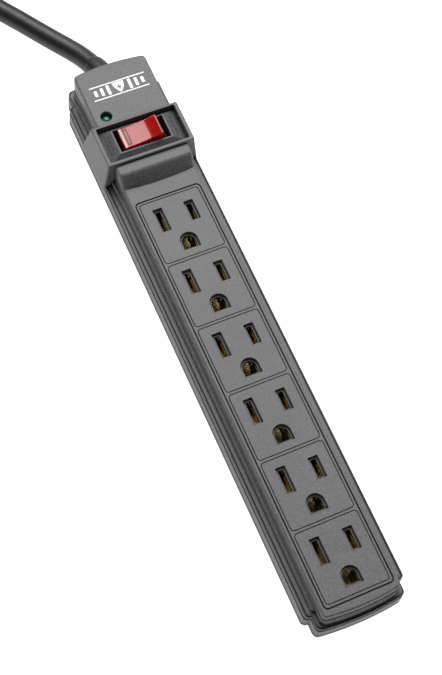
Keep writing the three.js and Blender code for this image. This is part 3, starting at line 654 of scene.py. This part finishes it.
def groove_cutter():
    """A V-shaped line around the whole field of outlets."""
    half, near, far, corner = GROOVE["half"], GROOVE["near"], GROOVE["far"], GROOVE["corner"]
    rings = []
    for grow, z in ((-0.34, 0.1), (-0.06, -0.7), (0.06, -0.7), (0.34, 0.1)):
        outline = rectangle(-half - grow, half + grow, near - grow, far + grow, corner + grow, 8)
        rings.append(level(outline, DECK_TOP + z))
    return skin(rings, capped=False)


def cavity():
    """The hollow inside the cover."""
    wall = 2.0
    stations = [(STEP_1, 1.0), (STEP_1, 7.0), (STEP_3, 8.5), (STEP_3, 10.8), (DECK, 11.5)]
    stations.append((DECK, DECK_TOP - wall))
    return skin([level(cross(shape, wall), z) for shape, z in stations])


def make_top_cover():
    """The stepped housing with its head and collar, and every opening cut in it."""
    body = combine("UNION", skin(shell_rings()), skin(head_rings()))
    body = combine("UNION", body, skin(collar_rings()))
    body = combine("DIFFERENCE", body, cavity())
    body = combine("DIFFERENCE", body, recess_cutter())
    body = combine("DIFFERENCE", body, groove_cutter())
    windows = merged([window_cutter(i) for i in range(OUTLETS)])
    body = combine("DIFFERENCE", body, windows)
    top = HEAD["top"]
    lamp_stations = ((2.25, 15.0), (2.25, top - 0.25), (2.5, top + 0.05), (2.5, top + 2))
    lamp = skin([level(circle(*LAMP, radius), z) for radius, z in lamp_stations])
    switch_room = rectangle(-12.2, 12.2, 76.6, RECESS["back"] - 0.4, 0.4)
    body = combine("DIFFERENCE", body, merged([lamp, prism(switch_room, 12.0, 20.5)]))
    cord_hole = skin([upright(circle(0, CORD_Z, 5.7, 40), y) for y in (112.0, 125.0)])
    body = combine("DIFFERENCE", body, cord_hole)
    stand_in("cover_shell", body, "housing_grey", "top_cover")


# ---- base ----

# The tray's profile: inset from the foot's plan, and height; the last ones are its inner lip.
TRAY_PROFILE = [(0.35, 0.0), (0.12, 0.06), (0.0, 0.25), (-0.05, 0.6), (-0.05, 1.8), (0.12, 2.0)]
TRAY_PROFILE += [(2.3, 2.0), (2.3, 4.3), (2.4, 4.4), (3.4, 4.4), (3.5, 4.3), (3.5, 2.0)]
SCREWS = [(-14.3, -100), (14.3, -100), (-14.3, 58), (14.3, 58), (-12.6, 110.6), (12.6, 110.6)]
# Radius and height up a screw's countersink, and up the screw as far as its thread.
SCREW_SINK = [(3.7, -0.5), (3.2, 0.25), (1.8, 1.3), (1.8, 1.95), (3.45, 1.96), (3.45, 6.0)]
SCREW_HEAD = [(0.02, 0.3), (2.3, 0.28), (2.6, 0.42), (2.65, 0.6), (1.45, 1.35), (1.45, 1.7)]


def keyhole_cutter(y):
    """A round hole with a slot on its +Y side."""
    slot = rectangle(-2.3, 2.3, y, y + 8.5, 2.2, 8)
    return combine("UNION", prism(circle(0, y, 4.2, 40), -1, 3), prism(slot, -1, 3))


def make_base():
    """The tray under the cover, with keyholes, screw sinks, a label's recess and the cord's notch."""
    tray = skin([level(cross(STEP_1, inset), z) for inset, z in TRAY_PROFILE])
    cutters = [keyhole_cutter(y) for y in KEYHOLE_Y]
    for x, y in SCREWS:
        cutters.append(skin([level(circle(x, y, radius), z) for radius, z in SCREW_SINK]))
    label = []
    for grow, z in ((0.2, -1), (0.2, -0.05), (0.0, 0.2)):
        label.append(level(rectangle(-11 - grow, 11 + grow, -36 - grow, 36 + grow, 2 + grow, 6), z))
    cutters.append(skin(label))
    cutters.append(skin([upright(circle(0, CORD_Z, 6.7, 40), y) for y in (110.0, 125.0)]))
    tray = combine("DIFFERENCE", tray, merged(cutters))
    stand_in("base_shell", tray, "housing_grey", "bottom_cover")


def cross_recess(x, y):
    """Two crossed slots that narrow towards their bottom."""
    slots = []
    for half_x, half_y in ((1.5, 0.33), (0.33, 1.5)):
        rings = []
        for share, z in ((1.0, -0.1), (0.6, 0.95)):
            a, b = half_x * share, half_y * share
            rings.append(level(rectangle(x - a, x + a, y - b, y + b, 0.1, 2), z))
        slots.append(skin(rings))
    return combine("UNION", *slots)


def make_screws():
    thread = [(1.5 if k % 2 else 1.2, 2.2 + 0.28 * k) for k in range(15)]
    profile = [*SCREW_HEAD, (1.25, 1.9), *thread, (0.7, 6.6)]
    for index, (x, y) in enumerate(SCREWS):
        screw = skin([level(circle(x, y, radius, 28), z) for radius, z in profile])
        body = combine("DIFFERENCE", screw, cross_recess(x, y))
        stand_in(f"cover_screw_{index + 1}", body, "steel", f"housing_screw_{index + 1}")


# ---- outlet faces ----


def d_shape(y, r):
    """A ground hole's outline: flat at the bottom, round at the top."""
    centre = y - GROUND_DROP
    points = [Vector((-r, centre - r)), Vector((r, centre - r)), Vector((r, centre - r * 0.5))]
    for i in range(25):
        angle = math.pi * i / 24
        points.append(Vector((r * math.cos(angle), centre + r * math.sin(angle))))
    points.append(Vector((-r, centre - r * 0.5)))
    return points


def funnel(outline):
    """A hole through the face that tapers from its mouth, outline(0), to its throat, outline(1)."""
    depth = 1.5
    stations = (
        (1.0, -PANEL["thick"] - 1),
        (1.0, -depth),
        (0.55, -depth),
        (0.06, -0.15),
        (-0.08, 0.05),
        (-0.08, 1),
    )
    return skin([level(outline(share), DECK_TOP + z) for share, z in stations])


def slot_outline(x, y, mouth, throat):
    """A blade slot's outline at each share of the way from mouth to throat, given their lengths."""

    def outline(t):
        half_x = 1.95 - 0.85 * t
        half_y = (mouth + (throat - mouth) * t) / 2
        return rectangle(x - half_x, x + half_x, y - half_y, y + half_y, 0.22, 3)

    return outline


def make_outlet_faces():
    for index in range(OUTLETS):
        y = FIRST_SLOTS - index * PITCH
        foot = DECK_TOP - PANEL["thick"]
        plate = [level(panel_outline(index, -0.1), foot), level(panel_outline(index, 0.0), foot + 0.1)]
        plate += round_edge(lambda z, inset, i=index: panel_outline(i, -inset), DECK_TOP, 0.14, 3)
        holes = [
            funnel(slot_outline(-BLADE_X, y, 10.48, 8.9)),
            funnel(slot_outline(BLADE_X, y, 8.86, 7.3)),
            funnel(lambda t, at=y: d_shape(at, 3.6 - 0.8 * t)),
        ]
        body = combine("DIFFERENCE", skin(plate), merged(holes))
        stand_in(f"outlet_plate_{index + 1}", body, "housing_grey", f"outlet_face_{index + 1}")


# ---- switch ----


def make_bezel():
    """The frame round the rocker: a flat rim that slopes up to the rocker's mouth."""
    half, front, back = RECESS["half"] - 0.15, RECESS["front"] + 0.15, RECESS["back"] - 0.15

    def box(x, y0, y1, z):
        return level(rectangle(-x, x, y0, y1, 0.12, 2), z)

    mouth, near, far, top = MOUTH["half"], MOUTH["front"], MOUTH["back"], MOUTH["top"]
    foot = 20.05
    rings = [
        box(half, front, back, foot),
        box(half, front, back, MOUTH["edge"] - 0.1),
        box(half - 0.1, front + 0.1, back - 0.1, MOUTH["edge"]),
        box(mouth + 0.75, near - 0.75, far + 0.45, top - 0.06),
        box(mouth + 0.6, near - 0.6, far + 0.35, top),
        box(mouth + 0.15, near - 0.15, far + 0.12, top),
        box(mouth, near, far, top - 0.15),
        box(mouth, near, far, foot),
    ]
    stand_in("switch_frame", skin(rings, capped=False), "bezel_grey", "switch_bezel")


def rocker_outline(inset):
    """The rocker's side view about its axle: a dished top, and ends that lean out a little."""
    left, right, rise = (ROCKER[name] - inset for name in ("left", "right", "rise"))
    low, r = ROCKER["low"] + inset, ROCKER["corner"]

    def top(x):
        return rise - ROCKER["dish"] * (1 - (x / (right if x > 0 else left)) ** 2)

    def end(half, sign):
        """Points up one end, from its foot round its top corner."""
        foot = [(sign * (half + 0.3), low), (sign * (half + 0.28), 1.4)]
        inner = sign * (half - r)
        start, tip = (sign * (half + 0.22), rise - r), (sign * (half + 0.16), rise)
        return foot + [tuple(p) for p in round_corner(start, tip, (inner, top(inner)), 6)]

    crown = [(right if i < 14 else left) * (1 - i / 14) * 0.92 for i in range(1, 28)]
    return [*end(right, 1), *[(x, top(x)) for x in crown], *end(left, -1)[::-1]]


def bar_ring(inner, outer, z0, z1):
    """The outline of the bar on the rocker, as an upright ring."""
    x, reach = -5.3, 2.9
    rings = []
    for grow, z in ((inner, z1), (inner, z0), (outer, z0), (outer, z1)):
        rings.append(level(rectangle(x - grow, x + grow, -reach - grow, reach + grow, 0.3, 4), z))
    return skin(rings, capped=False)


def make_rocker():
    """The rocker, made about its axle and then turned to rest, with a dark fill in its bar's groove as
    painted shade.
    """
    edge = 0.4
    near = []
    for angle in (i / 5 * math.pi / 2 for i in range(6)):
        inset = edge * (1 - math.sin(angle))
        near.append((inset, -ROCKER_HALF + edge * (1 - math.cos(angle))))
    far = [(inset, -y) for inset, y in reversed(near)]
    rings = [upright(rocker_outline(inset), y) for inset, y in near + far]
    bore = skin([upright(circle(0, 0, 1.3, 24), y) for y in (-6.0, 6.0)])
    body = combine("DIFFERENCE", skin(rings), bore)
    body = combine("DIFFERENCE", body, bar_ring(0.3, 0.94, 6.0, 8.0))
    body = combine("UNION", body, prism(circle(0, 0, 2.4, 32), -4.6, -1.5))
    body = combine("DIFFERENCE", body, prism(circle(0, 0, 1.9, 24), -5.0, -2.6))
    # Painted shade: a dark red solid fills the bar's groove, where the glowing red would not darken.
    groove_shade_fill = bar_ring(0.32, 0.92, 6.02, 6.42)
    turn = Matrix.Translation(Vector(PIVOT) * MM) @ Matrix.Rotation(math.radians(-REST_TILT), 4, "Y")
    for mesh in (body, groove_shade_fill):
        bmesh.ops.transform(mesh, matrix=turn, verts=mesh.verts)
    stand_in("rocker_button", body, "rocker_red", "rocker", body="rocker")
    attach(thing("rocker_bar_groove_shade", groove_shade_fill, "mark_red"), "rocker")


def bar(x, y, half_x, half_y):
    """A bar about (x, y), whose corners are rounded over an eighth of each side."""
    share = 0.12
    tips = [Vector((x + i * half_x, y + j * half_y)) for i, j in ((-1, -1), (1, -1), (1, 1), (-1, 1))]
    points = []
    for before, tip, after in zip([tips[-1], *tips], tips, [*tips[1:], tips[0]]):
        points += round_corner(tip.lerp(before, share), tip, tip.lerp(after, share), 3)
    return points


def shield(x, y, half, high):
    """A plain shield: a flat top and sides that curve to a point."""
    side = [(half * (1 - t**2.2), high * (0.5 - t)) for t in (i / 9 for i in range(9))]
    right = [(x + a, y + b) for a, b in side]
    left = [(x - a, y + b) for a, b in side]
    return [*left, (x, y - high * 0.5), *right[::-1]]


def make_print():
    """A generic mark in white ink: a shield with a bolt, between bars."""
    x, y, high = PRINT["x"], PRINT["y"], PRINT["high"]
    z0, z1 = HEAD["top"] + 0.004, HEAD["top"] + 0.03
    bars = []
    for side in (-1, 1):
        bars.append(bar(x, y + side * (high / 2 + PRINT["gap"]), PRINT["half"], PRINT["line"] / 2))
        for k in range(3):
            at = x + side * (PRINT["first"] + PRINT["pitch"] * k)
            bars.append(bar(at, y, PRINT["bar"] / 2, high / 2 - 0.45 * k))
    marks = [prism(outline, z0, z1) for outline in bars]
    badge = prism(shield(x, y, 2.35, high + 0.5), z0, z1)
    bolt = [(0.35, 1.7), (-1.05, -0.25), (-0.15, -0.25), (-0.45, -1.75), (1.0, 0.35), (0.1, 0.35)]
    cut = prism([(x + a, y + b) for a, b in bolt], z0 - 0.1, z1 + 0.1)
    marks.append(combine("DIFFERENCE", badge, cut))
    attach(thing("head_print", merged(marks), "print_white", smooth=False), "strip")


def make_bezel_marks():
    """Small raised dashes in columns, on the slopes beside the rocker's mouth."""
    crest = MOUTH["half"] + 0.6
    slope = math.atan2(MOUTH["top"] - MOUTH["edge"], RECESS["half"] - MOUTH["half"] - 0.9)
    dashes = []
    for side, column, x in ((-1, 0, 13.0), (-1, 1, 14.3), (1, 0, 13.6)):
        for k in range(5):
            y = MOUTH["front"] + 0.6 + 1.9 * k + 0.5 * column
            half = 0.42 if (k + column) % 2 else 0.28
            place = Vector((side * x, y, MOUTH["top"] - (x - crest) * math.tan(slope)))
            dash = prism(bar(0.0, 0.0, half, 0.5), -0.1, 0.1)
            turn = Matrix.Translation(place * MM) @ Matrix.Rotation(side * slope, 4, "Y")
            bmesh.ops.transform(dash, matrix=turn, verts=dash.verts)
            dashes.append(dash)
    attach(thing("bezel_marks", merged(dashes), "black_plastic"), "strip")


def make_lamp():
    """The lamp's lens: a round rod with a domed end."""
    x, y = LAMP
    radius, shoulder, dome = 1.9, 20.3, 1.5
    profile = [(0.6, 14.2), (radius, 14.3), (radius, shoulder)]
    for i in range(1, 9):
        angle = i / 9 * math.pi / 2
        profile.append((radius * math.cos(angle), shoulder + dome * math.sin(angle)))
    profile.append((0.03, shoulder + dome))
    lens = skin([level(circle(x, y, r, 36), z) for r, z in profile])
    stand_in("lamp_lens", lens, "lamp_green", "status_lens")


# ---- cord, relief, tie and plug ----

# The cord's middle line from inside the housing to the hank, as laid out in the CAD model.
EXIT_ROUTE = [
    (0, 119, CORD_Z),
    (0, 121.5, CORD_Z),
    (-0.55, 126.5, 7.0),
    (-1.8, 131.4, 6.0),
    (-3.9, 137.2, 5.0),
    (-6.7, 142.3, 4.5),
    (-10.1, 147.3, CORD_REST),
    (-13.9, 152.8, CORD_REST),
    (-17.9, 158.7, CORD_REST),
    (-22.2, 165.1, CORD_REST),
    (-27.0, 172.0, CORD_REST),
    (-30.9, 178.8, CORD_REST),
    (-33.6, 186.2, CORD_REST),
    (-34.8, 192.3, CORD_REST),
    (-35.1, 198.5, 4.4),
    (-35.1, 205.5, 4.7),
    (-35.1, 212.5, 5.1),
]
# The stretch from the hank to the plug: distance, sideways shift and height.
TAIL = [
    (8, 0, 22.8),
    (16, 0, 22.7),
    (24, 0.4, 21.4),
    (32, 1.6, 18.8),
    (40, 3.4, 16.0),
    (48, 5.4, 13.6),
    (56, 7.1, 11.8),
    (64, 7.9, 10.9),
    (70, 8, PLUG_Z),
]
RELIEF_END = 3
# The relief's radii, and where along Y it starts to narrow and to round off.
RELIEF = {"flange": 6.1, "root": 5.5, "taper": 0.72, "from": 120.0, "tip": 130.4}


def hank_route():
    """Up the left side, round the far fold, down the right side, and round the near fold, rising."""
    x, y, run, fold = HANK["x"], HANK["y"], HANK["run"], HANK["fold"]
    points = []
    for turn in range(HANK["turns"]):
        z = HANK["low"] + turn * HANK["rise"]
        points += [(x - fold, y + run * i / 5, z) for i in range(5)]
        for i in range(12):
            angle = math.pi * (1 - i / 12)
            points.append((x + fold * math.cos(angle), y + run + fold * math.sin(angle), z))
        points += [(x + fold, y + run * (1 - i / 5), z) for i in range(5)]
        for i in range(12):
            share = i / 12
            angle = math.pi * share
            lift = HANK["rise"] * share * share * (3 - 2 * share)
            points.append((x + fold * math.cos(angle), y - fold * math.sin(angle), z + lift))
    top = HANK["low"] + HANK["turns"] * HANK["rise"]
    points += [(x - fold, y + run * i / 5, top) for i in range(6)]
    return points


def on_tail(distance, aside, z):
    """A point of the tail, which leaves the top of the hank's left side."""
    return (HANK["x"] - HANK["fold"] + aside, HANK["y"] + HANK["run"] + distance, z)


def through(points, spacing):
    """Points of a smooth curve through the given ones, about spacing apart."""
    knots = [Vector(p) for p in points]
    knots = [2 * knots[0] - knots[1], *knots, 2 * knots[-1] - knots[-2]]
    line = []
    for a, b, c, d in zip(knots, knots[1:], knots[2:], knots[3:]):
        steps = max(1, round((c - b).length / spacing))
        for t in (i / steps for i in range(steps)):
            curved = (2 * a - 5 * b + 4 * c - d) * t * t + (3 * b - a - 3 * c + d) * t**3
            line.append(0.5 * (2 * b + (c - a) * t + curved))
    return [*line, knots[-2]]


def swept(line, outline_at):
    """Rings along a line; outline_at(share) gives (sideways, upwards) points."""
    rings = []
    for i, point in enumerate(line):
        ahead = (line[min(i + 1, len(line) - 1)] - line[max(i - 1, 0)]).normalized()
        side = ahead.cross(Vector((0, 0, 1))).normalized()
        over = side.cross(ahead)
        rings.append([point + side * p[0] + over * p[1] for p in outline_at(i / (len(line) - 1))])
    return rings


def make_cord(pieces):
    """The whole cord in one curve. Its argument pieces, the pieces that are on the cord, is not used."""
    route = [*EXIT_ROUTE, *hank_route(), *[on_tail(*place) for place in TAIL]]
    line = through(route, 2.5)
    data = bpy.data.curves.new("power_lead", "CURVE")
    data.dimensions = "3D"
    data.bevel_depth = CORD_RADIUS * MM
    data.bevel_resolution = 6
    data.use_fill_caps = True
    spline = data.splines.new("POLY")
    spline.points.add(len(line) - 1)
    for target, point in zip(spline.points, line):
        target.co = (*(point * MM), 1.0)
    spline.use_smooth = True
    cord = bpy.data.objects.new("power_lead", data)
    scene.collection.objects.link(cord)
    data.materials.append(finish("cord_jacket"))
    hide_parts("power_cord", "cord_hank", "power_cord_tail")
    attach(cord, "strip")


def make_relief():
    """The tapered sleeve where the cord leaves the housing, held by a flange behind the wall."""
    line = through([(0, 111.6, CORD_Z), (0, 115.3, CORD_Z), *EXIT_ROUTE[: RELIEF_END + 1]], 0.7)
    count = len(line)

    def radius(share):
        y = line[round(share * (count - 1))].y
        if y < 112:
            return RELIEF["flange"] - 0.2
        if y < 116:
            return RELIEF["flange"]
        taper = min(max((y - RELIEF["from"]) / (RELIEF["tip"] + 1 - RELIEF["from"]), 0.0), 1.0)
        round_off = min(0.5 * max(0.0, y - RELIEF["tip"]) ** 2, 0.5)
        return RELIEF["root"] - RELIEF["taper"] * taper - round_off

    outer = swept(line, lambda share: circle(0, 0, radius(share), 40))
    inner = swept(line, lambda share: circle(0, 0, CORD_RADIUS - 0.02, 40))
    sleeve = skin([*outer, *inner[::-1]], capped=False)
    return stand_in("cord_sleeve", sleeve, "cord_jacket", "strain_relief")


def plug_frame():
    """The place of the middle of the plug's face."""
    back = Vector(on_tail(*TAIL[-1]))
    return Matrix.Translation((back + Vector((0, PLUG_LENGTH, 0))) * MM)


def squircle(half_x, half_z, power):
    """A rounded box's outline: power 2 is an ellipse, and more is squarer."""
    sides = 56
    points = []
    for i in range(sides):
        c, s = math.cos(2 * math.pi * i / sides), math.sin(2 * math.pi * i / sides)
        scale = (abs(c) ** power + abs(s) ** power) ** (-1 / power)
        points.append((half_x * c * scale, half_z * s * scale))
    return points


# The plug body's stations from its back to its face: distance, half width, half height, squareness.
PLUG_SHAPE = [
    (-44.0, 5.3, 5.3, 2.0),
    (-43.7, 5.9, 5.6, 2.0),
    (-34.0, 6.6, 5.9, 2.0),
    (-31.0, 7.4, 6.8, 2.1),
    (-27.0, 9.9, 8.2, 2.3),
    (-22.0, 11.1, 9.2, 2.5),
    (-16.0, 11.6, 9.5, 2.6),
    (-11.5, 11.8, 9.6, 2.7),
    (-9.6, 12.2, 9.8, 2.9),
    (-8.6, 12.9, 10.3, 3.2),
    (-7.6, 13.2, 10.5, 3.4),
    (-1.2, 13.2, 10.5, 3.4),
    (-0.4, 12.95, 10.25, 3.4),
    (0.0, 12.3, 9.6, 3.4),
]


# Where ribs go round the plug: start, end, pitch, depth and the place of one crest.
GRIP_RIBS = (-25.5, -11.5, 3.0, 0.5, -18.5)
NECK_RIBS = (-42.8, -33.5, 2.5, 0.55, 0.0)


def rib_depth(y, ribs):
    start, end, pitch, depth, crest = ribs
    if not start < y < end:
        return 0.0
    return depth * max(0.0, math.cos((y - crest) * math.pi * 2 / pitch))


def plug_station(y):
    """Half width, half height and squareness at a distance along the plug."""
    for (y0, *low), (y1, *high) in zip(PLUG_SHAPE, PLUG_SHAPE[1:]):
        if y <= y1:
            t = (y - y0) / (y1 - y0)
            return [a + t * (b - a) for a, b in zip(low, high)]
    return list(PLUG_SHAPE[-1][1:])


def plug_rings():
    """The plug's sections, with grip ribs on its flat faces and ribs round its neck."""
    rings = []
    steps = 176
    for i in range(steps + 1):
        y = -PLUG_LENGTH + PLUG_LENGTH * i / steps
        half_x, half_z, power = plug_station(y)
        grip, neck = rib_depth(y, GRIP_RIBS), rib_depth(y, NECK_RIBS)
        shaped = []
        for x, z in squircle(half_x, half_z, power):
            flat = max(0.0, abs(z) / half_z - 0.62) / 0.38
            z -= math.copysign(grip * min(1.0, flat * 2.2), z)
            grow = 1 - neck * min(1.0, abs(x) / 3.2) / half_x
            shaped.append((x * grow, z * grow))
        rings.append(upright(shaped, y))
    return rings


def make_plug_body():
    mesh = skin(plug_rings())
    bmesh.ops.transform(mesh, matrix=plug_frame(), verts=mesh.verts)
    return stand_in("plug_shell", mesh, "plug_black", "plug_body")


def blade(x0, x1, z0, z1):
    """A flat blade with a round-cornered tip and a hole through it."""
    length, edge, corner = 17.3, 0.18, 1.6
    rings = []
    for inset, z in ((edge, z0), (0.0, z0 + edge), (0.0, z1 - edge), (edge, z1)):
        left, right, tip = x0 + inset, x1 - inset, length - inset
        outline = [(left, 0.1), (right, 0.1)]
        outline += round_corner((right, length - corner), (right, tip), (x1 - corner, tip), 5)
        outline += round_corner((x0 + corner, tip), (left, tip), (left, length - corner), 5)
        rings.append(level(outline, z))
    hole = prism(circle((x0 + x1) / 2, 11.7, 1.6, 28), z0 - 1, z1 + 1)
    return combine("DIFFERENCE", skin(rings), hole)


def make_plug_pins():
    profile = [(0.1, 2.35), (18.0, 2.35), (18.9, 2.15), (19.6, 1.75), (20.05, 1.15), (20.2, 0.3)]
    pin = skin([upright(circle(5.89, 0, radius, 32), y) for y, radius in profile])
    made = []
    for name, node, mesh in (
        ("blade_live", "plug_hot_blade", blade(-9.15, -2.85, 5.6, 7.1)),
        ("blade_neutral", "plug_neutral_blade", blade(-9.9, -2.1, -7.1, -5.6)),
        ("pin_earth", "plug_ground_pin", pin),
    ):
        bmesh.ops.transform(mesh, matrix=plug_frame(), verts=mesh.verts)
        made.append(stand_in(name, mesh, "brass", node))
    return made


def make_tie():
    """A hook-and-loop strap round the middle of the hank, with its free end lapped over on top."""
    x, fold = HANK["x"], HANK["fold"]
    side, thick = fold + CORD_RADIUS + 0.85, 0.36
    low_top = HANK["low"] + HANK["rise"] + CORD_RADIUS + 0.9
    high_top = low_top + HANK["rise"]
    floor, left, right = 0.45, x - side, x + side
    corners = [
        ((left, 6), (left, floor), (left + 6, floor)),
        ((right - 6, floor), (right, floor), (right, 6)),
        ((right, low_top - 4), (right, low_top), (right - 5, low_top + 0.9)),
        ((x - fold + 9, high_top - 1), (x - fold + 4, high_top), (x - fold - 1, high_top)),
        ((left + 3, high_top), (left, high_top), (left, high_top - 4)),
    ]
    line = upright([point for corner in corners for point in round_corner(*corner, 6)], 0)
    lap = [point for point in line if point.z > low_top + 0.5]
    lap = [point + Vector((0.25, 0, 0.72)) for point in lap if point.x > left + 3]
    mesh = merged([strap(line, True, 4.5, thick), strap(lap, False, 4.5, thick)])
    bmesh.ops.translate(mesh, vec=Vector((0, HANK["y"] + HANK["run"] / 2, 0)) * MM, verts=mesh.verts)
    return stand_in("strap_tie", mesh, "tie_fabric", "cord_tie")


def strap(line, closed, half, thick):
    """A flat band along a path in the XZ plane; half is half its width."""
    rings = []
    count = len(line)
    for i, point in enumerate(line):
        after = line[(i + 1) % count] if closed else line[min(i + 1, count - 1)]
        before = line[i - 1] if closed or i else line[0]
        ahead = (after - before).normalized()
        out = Vector((ahead.z, 0, -ahead.x))
        corners = rectangle(-half, half, -thick, thick, 0.2, 2)
        rings.append([point + Vector((0, p.x, 0)) + out * p.y for p in corners])
    return skin(rings, capped=not closed)


# ---- inner pieces ----


def dress_cad_nodes():
    """The CAD nodes that stay get their slot's finish and slightly broken edges."""
    for row in frame["record"]["subparts"]:
        node = frame["nodes"][row["node"]]
        if node.hide_render:
            continue
        node.data.materials.clear()
        node.data.materials.append(finish(row["material_slot"]))
        edge = node.modifiers.new("edges", "BEVEL")
        edge.width = 0.12 * MM
        edge.segments = 2
        edge.limit_method = "ANGLE"
        edge.angle_limit = math.radians(40)
        edge.use_clamp_overlap = True
        weighted = node.modifiers.new("flat_faces", "WEIGHTED_NORMAL")
        weighted.keep_sharp = True


# ---- surroundings ----

FLOOR_HALF = 12.0  # metres
FLOOR_Z = -0.00006  # metres: just under the base, so that the two don't share a plane


def make_floor():
    """A plain white sheet that glows faintly, so that it stays white in every view."""
    mesh = bmesh.new()
    corners = ((-1, -1), (1, -1), (1, 1), (-1, 1))
    mesh.faces.new([mesh.verts.new((x * FLOOR_HALF, y * FLOOR_HALF, FLOOR_Z)) for x, y in corners])
    floor = thing("floor", mesh, smooth=False)
    n = Nodes("floor_white")
    tone = n.ramp(n.noise(3.0), (0.48, 0.48, 0.485), (0.5, 0.5, 0.5))
    n.link(tone, "Color", n.shader, "Base Color")
    n.fill(n.shader, Roughness=0.9, Specular_IOR_Level=0.1)
    n.fill(n.shader, Emission_Color=(1.0, 1.0, 1.0, 1.0), Emission_Strength=1.1)
    floor.data.materials.append(n.material)


def make_softbox(name, place, size, radiance):
    """A softbox that faces straight down; place and size are in metres."""
    data = bpy.data.lights.new(name, "AREA")
    data.shape = "RECTANGLE"
    data.size, data.size_y = size
    data.energy = radiance * math.pi * size[0] * size[1]
    lamp = bpy.data.objects.new(name, data)
    lamp.location = place
    scene.collection.objects.link(lamp)


def make_lights():
    """A large soft key from the far right, a smaller one from the far left, and an even fill."""
    make_softbox("key", (0.57, 1.02, 1.6), (1.7, 1.56), 7.95)
    make_softbox("rim", (-0.5, 1.88, 1.6), (0.44, 0.86), 8.0)
    world = bpy.data.worlds.new("studio")
    world.use_nodes = True
    background = world.node_tree.nodes["Background"]
    background.inputs["Color"].default_value = (1.0, 1.0, 1.0, 1.0)
    background.inputs["Strength"].default_value = 0.09
    scene.world = world
    scene.view_settings.view_transform = "Standard"
    scene.view_settings.look = "None"


make_camera()
make_cord([make_relief(), make_tie(), make_plug_body(), *make_plug_pins()])
make_top_cover()
make_base()
make_screws()
make_outlet_faces()
make_bezel()
make_bezel_marks()
make_rocker()
make_print()
make_lamp()
dress_cad_nodes()
make_floor()
make_lights()
